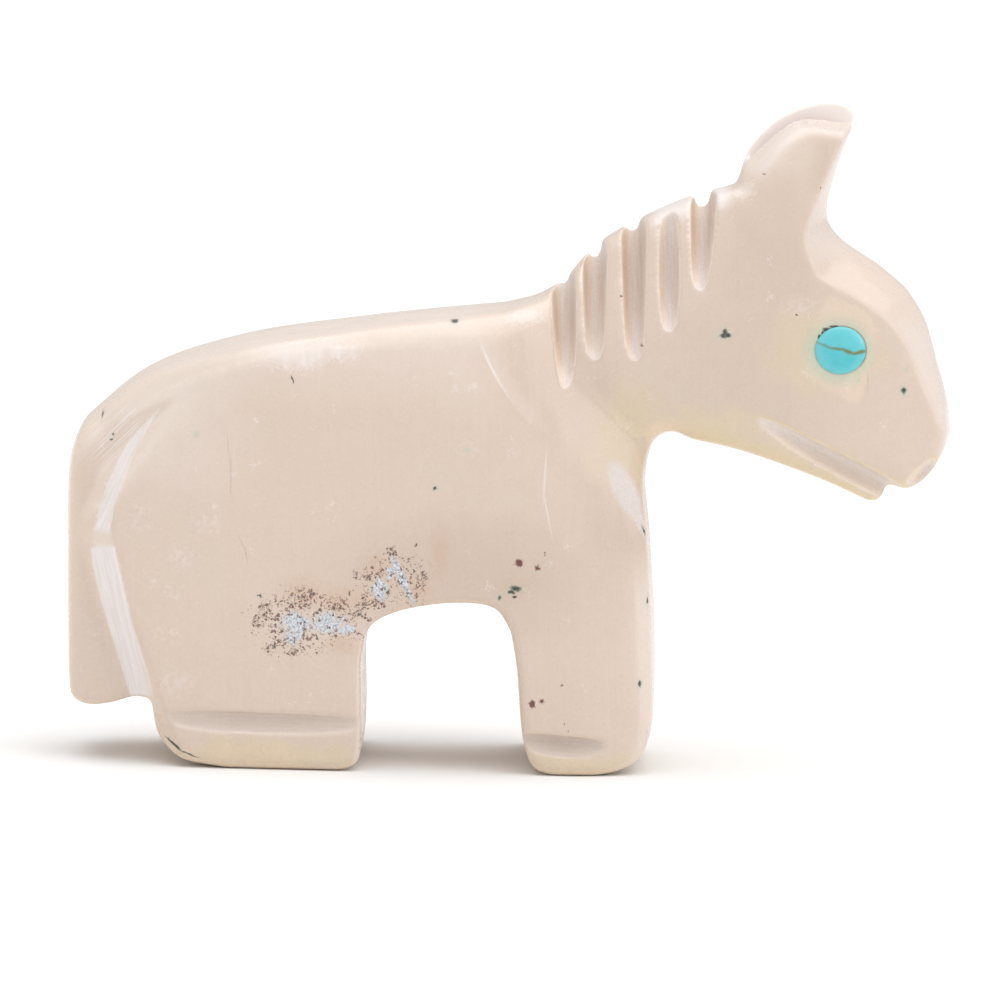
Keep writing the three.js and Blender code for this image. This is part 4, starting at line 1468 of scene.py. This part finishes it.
        # Painted highlight: a white line along the rims of the grooves, none in the hoof grooves and less in
        # the mouth
        plain = most(tree, low, multiply(tree, in_mouth, 0.7))
        rims = multiply(tree, ramp(tree, self.ground, 0.0, 0.3), ramp(tree, self.ground, 0.4, 0.85, 1.0, 0.0),
                        combine(tree, "SUBTRACT", 1.0, plain))
        self.lay("white", rims, 0.35)
        # Painted light on the left ear's inner side, in the shade of the slot
        self.lay("pale", self.where(EAR_SLOT), 0.95)
        # Painted shade: the hoof grooves are laid darker
        self.lay("shade", multiply(tree, self.ground, low), 0.5)
        # Painted light: the polished top of the crest is laid white
        polished = combine(tree, "SUBTRACT", 1.0, self.ground)
        self.lay("white", multiply(tree, self.where(TOP_OF_CREST), polished), 0.6)
        # Painted light: edges that stand out are laid peach, as light coming through the stone
        self.lay("peach", attribute(tree, "edge"), 0.25)
        # Painted highlight: the head's front planes are laid whiter, least at the middle of the front
        from_middle = combine(tree, "ABSOLUTE", combine(tree, "SUBTRACT", self.z, MIDDLE_OF_FRONT))
        self.lay("white", attribute(tree, "front"), ramp(tree, from_middle, 0.8, 3.0, 0.06, 0.27))

    def light_on_hollow(self):
        """The painted highlight where the hollow behind the shoulder starts, and the painted sheen inside it.
        """
        tree = self.tree
        centre = flat_place(HOLLOW_CENTRE)
        off_x = combine(tree, "SUBTRACT", float(centre[0]), self.x)
        off_z = combine(tree, "SUBTRACT", float(centre[1]), self.z)
        square = combine(tree, "ADD", multiply(tree, off_x, off_x), multiply(tree, off_z, off_z))
        reach = combine(tree, "SQRT", square)
        slope = combine(tree, "DIVIDE", off_z, off_x)
        beside = combine(tree, "ABSOLUTE", combine(tree, "SUBTRACT", reach, HOLLOW_RADIUS))
        crest = multiply(tree, ramp(tree, beside, 0.02, 0.14, 0.6, 0.0),
                         ramp(tree, slope, 0.5, 0.95, 1.0, 0.0))
        sheen = multiply(tree, ramp(tree, reach, HOLLOW_RADIUS - 1.2, HOLLOW_RADIUS, 0.0, 0.15),
                         ramp(tree, reach, HOLLOW_RADIUS, HOLLOW_RADIUS + 0.1, 1.0, 0.0),
                         ramp(tree, slope, 0.7, 1.3, 1.0, 0.0))
        return multiply(tree, most(tree, crest, sheen), ramp(tree, slope, 0.37, 0.48))

    def paint_scuffs(self):
        """Scratches, unpolished places, the white bands behind the thigh and the scuff on the chest, with
        painted highlights on the back, at the withers, along the hollow and the foreleg, and painted light on
        the thigh's walls.
        """
        tree = self.tree
        scratch_lines = use_group(tree, lines_group(), place=self.place, turn=SCRATCH_TURN, spacing=0.09,
                                  length=4.0, low=0.5, high=0.66).outputs["Lines"]
        scratches = multiply(tree, scratch_lines, self.spots(self.place, SCRATCHED, 0.6), self.right, 0.55)
        # Partly painted highlights: the chalky places on the back and at the withers
        missed_polish_and_highlights = multiply(tree, self.spots(self.frayed, CHALK_AND_HIGHLIGHT_SPOTS, 0.5),
                          ramp(tree, self.polish, 0.0, 1.0, 0.5, 0.9), 0.7)
        faint = multiply(tree, self.spots(self.frayed, FAINT_CHALK, 0.6),
                         ramp(tree, self.sparkle, 0.42, 0.62, 0.0, 0.22))
        # Painted highlight along the ridge of the foreleg
        pale = multiply(tree, self.lines(self.place, FORELEG_HIGHLIGHTS, 0.8), 0.5)
        chalky_and_highlights = multiply(tree, most(tree, missed_polish_and_highlights, pale, self.light_on_hollow(), faint), self.right)
        self.chalky_and_highlights = most(tree, chalky_and_highlights, scratches)
        self.lay("white", self.chalky_and_highlights, 0.85)
        # Chalky thigh walls, laid strongly as painted light on these down-facing walls, and weaker between
        # the bands
        self.lay("chalk_and_painted_light", self.wall, ramp(tree, self.between, 0.0, 1.0, 0.75, 0.4))
        both = combine(tree, "ADD", self.where(UPPER_BAND), self.where(LOWER_BAND), clamp=True)
        bands = multiply(tree, self.wall, both, ramp(tree, self.wheel_lines, 0.0, 1.0, 0.7, 1.0))
        band_colour = tint(tree, ramp(tree, self.wheel_lines, 0.0, 1.0, 0.45, 0.85), self.shade_of("scuff"),
                           self.shade_of("white"))
        self.lay(band_colour, bands, 0.85)
        self.chalky_and_highlights = most(tree, self.chalky_and_highlights, bands)
        self.scuffed = multiply(tree, self.lines(self.ragged, CHEST_SCUFF, 0.25), self.right)
        self.lay("scuff", self.scuffed, ramp(tree, self.grain, 0.0, 1.0, 0.9, 0.6))

    def paint_crystal(self):
        """The stains, the crystal and the grit near the belly."""
        tree = self.tree
        self.lay("stain", multiply(tree, self.spots(self.frayed, STAIN_SPOTS, 0.9), self.right), 0.38)
        nearest = combine(tree, "MINIMUM", nearest_spot(tree, self.ragged, CRYSTAL_SPOTS),
                          nearest_line(tree, self.uneven, CRYSTAL_LINES))
        inside = combine(tree, "SUBTRACT", multiply(tree, self.sparkle, 2.2), nearest)
        crystal = multiply(tree, ramp(tree, inside, -0.3, 0.6), self.right)
        glint = ramp(tree, noise(tree, self.place, 0.11, 1.0).outputs["Fac"], 0.4, 0.62)
        self.lay(tint(tree, glint, self.shade_of("crystal"), self.shade_of("crystal_light")), crystal)
        clustered = self.spots(self.ragged, GRIT_SPOTS, 0.5)
        spread = multiply(tree, self.spots(self.frayed, SPREAD_GRIT, 0.5), 0.4)
        gritty = multiply(tree, most(tree, clustered, spread), self.right,
                          ramp(tree, crystal, 0.5, 1.0, 1.0, 0.75))
        grit = use_group(tree, grit_group(), place=self.crumbly, spacing=0.18, size=0.12,
                         share=multiply(tree, gritty, 0.75))
        fine_grit = use_group(tree, grit_group(), place=self.ragged, spacing=0.1, size=0.062,
                              share=multiply(tree, gritty, 0.7))
        grit_colour = tint(tree, ramp(tree, grit.outputs["Random"], 0.28, 0.55), self.shade_of("speck"),
                           self.shade_of("rust"))
        self.lay(grit_colour, grit.outputs["Mask"], 0.85)
        self.lay("rust", fine_grit.outputs["Mask"], 0.6)

    def paint_grains(self):
        """Single grains with their halos, the fine cracks, the dark rim of the right eye with a painted
        shadow round the plug, and a few stray grains on the left side."""
        tree = self.tree
        round_eye = nearest_spot(tree, self.ragged, EYE_HALO)
        self.lay("green", ramp(tree, round_eye, 0.85, 1.55, 0.62, 0.0))
        dark = nearest_spot(tree, moved(tree, self.uneven, self.crumble, 0.1), DARK_SPOTS)
        halos = multiply(tree, ramp(tree, dark, 0.8, 3.2, 1.0, 0.0), 0.35)
        faint = multiply(tree, self.spots(self.ragged, FAINT_SPOTS, 0.7), 0.42)
        self.lay("green", most(tree, halos, faint), self.right)
        self.lay("speck", multiply(tree, self.lines(self.uneven, HAIRLINES, 0.6), self.right), 0.2)
        crumbs = ramp(tree, self.sparkle, 0.3, 0.5, 0.85, 1.0)
        self.lay("rust", multiply(tree, self.spots(self.crumbly, BROWN_SPOTS), self.right, crumbs))
        # Painted shadow round the plug, darkest on its upper right
        plug_edge = nearest_spot(tree, self.place, EYE_OUTLINE)
        upper_right = ramp(tree, combine(tree, "ADD", self.x, self.z), 42.2, 43.4, 0.35, 1.0)
        plug_gap_shadow = multiply(tree, ramp(tree, plug_edge, 1.02, 1.07, 0.55, 0.0), upper_right)
        blackish = most(tree, mark(tree, dark, 0.5), self.lines(self.uneven, DARK_LINES, 0.5),
                        self.spots(self.uneven, DARK_RIM), plug_gap_shadow)
        self.lay("speck", multiply(tree, blackish, self.right, crumbs))
        strays = use_group(tree, grit_group(), place=self.ragged, spacing=4.2, size=0.26, share=0.3)
        self.lay("speck", strays.outputs["Mask"], self.where(LEFT_SIDE))

    def set_shine(self):
        """The polish is glossy, and what is chalky, ground or scuffed is duller."""
        tree = self.tree
        dull = most(tree, multiply(tree, self.chalky_and_highlights, 0.8), multiply(tree, self.ground, 0.8), self.scuffed)
        dull = combine(tree, "ADD", dull, multiply(tree, self.fine_clouds, 0.25), clamp=True)
        tree.links.new(ramp(tree, dull, 0.0, 1.0, 0.26, 0.62), self.shader.inputs["Roughness"])

    def set_relief(self):
        """The polish's gentle waves and fine lines, and the wheel's lines where it left them."""
        tree = self.tree
        on_bands = multiply(tree, self.wall, combine(tree, "SUBTRACT", 1.0, self.between))
        left_rough = combine(tree, "MAXIMUM", self.ground, on_bands)
        height = multiply(tree, noise(tree, self.place, 2.2).outputs["Fac"], 0.12)
        for value, size in ((self.polish, 0.006), (multiply(tree, self.wheel_lines, left_rough), 0.012)):
            height = combine(tree, "ADD", height, multiply(tree, value, size))
        bump = new_node(tree, "ShaderNodeBump", {"Strength": 1.0, "Distance": MM, "Height": height})
        tree.links.new(bump.outputs[0], self.shader.inputs["Normal"])


def stone_material(finish):
    """Cream stone, with all its layers from the body of the stone to the last grain."""
    paint = StonePaint(finish)
    paint.paint_body()
    paint.paint_grooves()
    paint.paint_scuffs()
    paint.paint_crystal()
    paint.paint_grains()
    paint.tree.links.new(paint.colour, paint.shader.inputs["Base Color"])
    paint.set_shine()
    paint.set_relief()
    return paint.material


def turquoise_material(finish):
    """Polished turquoise with a brown vein across the right eye."""
    material, tree, shader = new_material("Turquoise")
    place = place_in_mm(tree)
    x, y, z = new_node(tree, "ShaderNodeSeparateXYZ", {0: place}).outputs
    clouds = use_group(tree, soft_patches_group(), place=place, stretch=(1, 1, 1.6), size=1.1, detail=3.0,
                       low=0.3, high=0.7).outputs["Mask"]
    # Painted highlight: the upper part of each plug is laid in the lighter turquoise
    above = ramp(tree, z, EYE_PLACE[1] - 0.7, EYE_PLACE[1] + 0.5)
    near_rim = ramp(tree, nearest_spot(tree, place, EYE_OUTLINE), 0.55, 1.0)
    colour = tint(tree, multiply(tree, above, 0.45), tuple(finish.turquoise), tuple(finish.turquoise_light))
    colour = tint(tree, multiply(tree, clouds, 0.3), colour, tuple(finish.turquoise_light))
    colour = tint(tree, multiply(tree, near_rim, 0.5), colour, tuple(finish.turquoise_light))
    ragged = moved(tree, place, noise(tree, place, 0.3, 1.0).outputs["Color"], 0.13)
    vein = multiply(tree, mark(tree, nearest_line(tree, ragged, VEIN), 0.7), ramp(tree, y, -1, 0, 1.0, 0.0))
    along_vein = ramp(tree, x, 17.2, 19.0, 0.55, 0.95)
    colour = tint(tree, multiply(tree, vein, along_vein), colour, tuple(finish.vein))
    tree.links.new(colour, shader.inputs["Base Color"])
    bump = new_node(tree, "ShaderNodeBump", {
        "Strength": 1.0, "Distance": MM, "Height": multiply(tree, combine(tree, "ADD", vein, clouds), -0.01)})
    tree.links.new(bump.outputs[0], shader.inputs["Normal"])
    tree.links.new(ramp(tree, vein, 0.0, 1.0, 0.2, 0.4), shader.inputs["Roughness"])
    return material


def floor_material(studio):
    material, _, shader = new_material("Pale floor")
    shader.inputs["Base Color"].default_value = tuple(studio.floor)
    shader.inputs["Roughness"].default_value = 0.9
    return material


# The stage, in metres: the floor's width, the sky's place, spread in degrees and strength, and each
# softbox with its place, its width and its power
FLOOR_WIDTH = 6
SKYLIGHT = ((0.15, -0.05, 1), 75, 2.1)
SOFTBOXES = (
    ("right softbox", (1.5, -0.8, 0.8), 1.0, 6.5),
    ("left softbox", (-1.5, -0.8, 0.7), 1.0, 1.8),
)
LIT_PLACE = (0, 0, 0.016)
# What the camera looks at, in millimetres, and the width of its sensor, also in millimetres
CAMERA_AIM = (-0.5, 0, 14.88)
SENSOR_WIDTH = 36


class HORSE_OT_stage(bpy.types.Operator):
    """Lay the floor, set the lights and place the camera"""
    bl_idname = "horse.stage"
    bl_label = "Set the Stage"

    def execute(self, context):
        studio = context.scene.horse_studio
        deselect_all()
        bpy.ops.mesh.primitive_plane_add(size=FLOOR_WIDTH)
        floor = context.object
        floor.name = "floor"
        floor.data.materials.append(floor_material(studio))
        add_world(context.scene, studio)
        add_skylight(*SKYLIGHT)
        for softbox in SOFTBOXES:
            add_softbox(*softbox)
        add_camera(context.scene, studio)
        return {"FINISHED"}


def add_world(scene, studio):
    world = bpy.data.worlds.new("white room")
    world.use_nodes = True
    background = world.node_tree.nodes["Background"]
    background.inputs["Color"].default_value = (1, 1, 1, 1)
    background.inputs["Strength"].default_value = studio.sky
    scene.world = world


def add_skylight(place, spread, strength):
    """An even soft light from one direction, as wide as a large window seen from below."""
    deselect_all()
    bpy.ops.object.light_add(type="SUN", location=place)
    light = bpy.context.object
    light.name = "skylight"
    light.data.angle = math.radians(spread)
    light.data.energy = strength
    light.rotation_euler = Vector(place).to_track_quat("Z", "Y").to_euler()


def add_softbox(name, place, size, power):
    deselect_all()
    bpy.ops.object.light_add(type="AREA", location=place)
    light = bpy.context.object
    light.name = name
    light.data.shape = "SQUARE"
    light.data.size = size
    light.data.energy = power
    light.visible_camera = False
    light.rotation_euler = (Vector(LIT_PLACE) - Vector(place)).to_track_quat("-Z", "Y").to_euler()


def add_camera(scene, studio):
    """The camera stands at the picture's own angle, a little above the figure and leaning."""
    aim = Vector([value * MM for value in CAMERA_AIM])
    back = Vector((0, -math.cos(studio.camera_height), math.sin(studio.camera_height)))
    deselect_all()
    bpy.ops.object.camera_add(location=aim + back * studio.camera_distance)
    camera = bpy.context.object
    camera.name = "camera"
    upright = (-back).to_track_quat("-Z", "Y").to_matrix()
    camera.rotation_euler = (upright @ Matrix.Rotation(studio.camera_roll, 3, "Z")).to_euler()
    camera.data.sensor_width = SENSOR_WIDTH
    camera.data.lens = SENSOR_WIDTH * studio.camera_distance / studio.view_width
    camera.data.clip_start = 0.01
    camera.data.clip_end = 20
    scene.camera = camera
    scene.view_settings.view_transform = "Standard"


class HORSE_PT_panel(bpy.types.Panel):
    """The horse's steps in the sidebar"""
    bl_idname = "HORSE_PT_panel"
    bl_label = "Carved Stone Horse"
    bl_space_type = "VIEW_3D"
    bl_region_type = "UI"
    bl_category = "Horse"

    def draw(self, context):
        for operator in (HORSE_OT_carving, HORSE_OT_eyes, HORSE_OT_stage):
            self.layout.operator(operator.bl_idname)
        for settings in (context.scene.horse_sizes, context.scene.horse_finish, context.scene.horse_studio):
            for name in settings.__annotations__:
                self.layout.prop(settings, name)


CLASSES = (HorseSizes, HorseFinish, HorseStudio, HORSE_OT_carving, HORSE_OT_eyes, HORSE_OT_stage,
           HORSE_PT_panel)


def register():
    for cls in CLASSES:
        bpy.utils.register_class(cls)
    bpy.types.Scene.horse_sizes = bpy.props.PointerProperty(type=HorseSizes)
    bpy.types.Scene.horse_finish = bpy.props.PointerProperty(type=HorseFinish)
    bpy.types.Scene.horse_studio = bpy.props.PointerProperty(type=HorseStudio)


def unregister():
    del bpy.types.Scene.horse_sizes
    del bpy.types.Scene.horse_finish
    del bpy.types.Scene.horse_studio
    for cls in reversed(CLASSES):
        bpy.utils.unregister_class(cls)


def main():
    register()
    bpy.ops.horse.carving()
    bpy.ops.horse.eyes()
    bpy.ops.horse.stage()


if __name__ == "__main__":
    main()
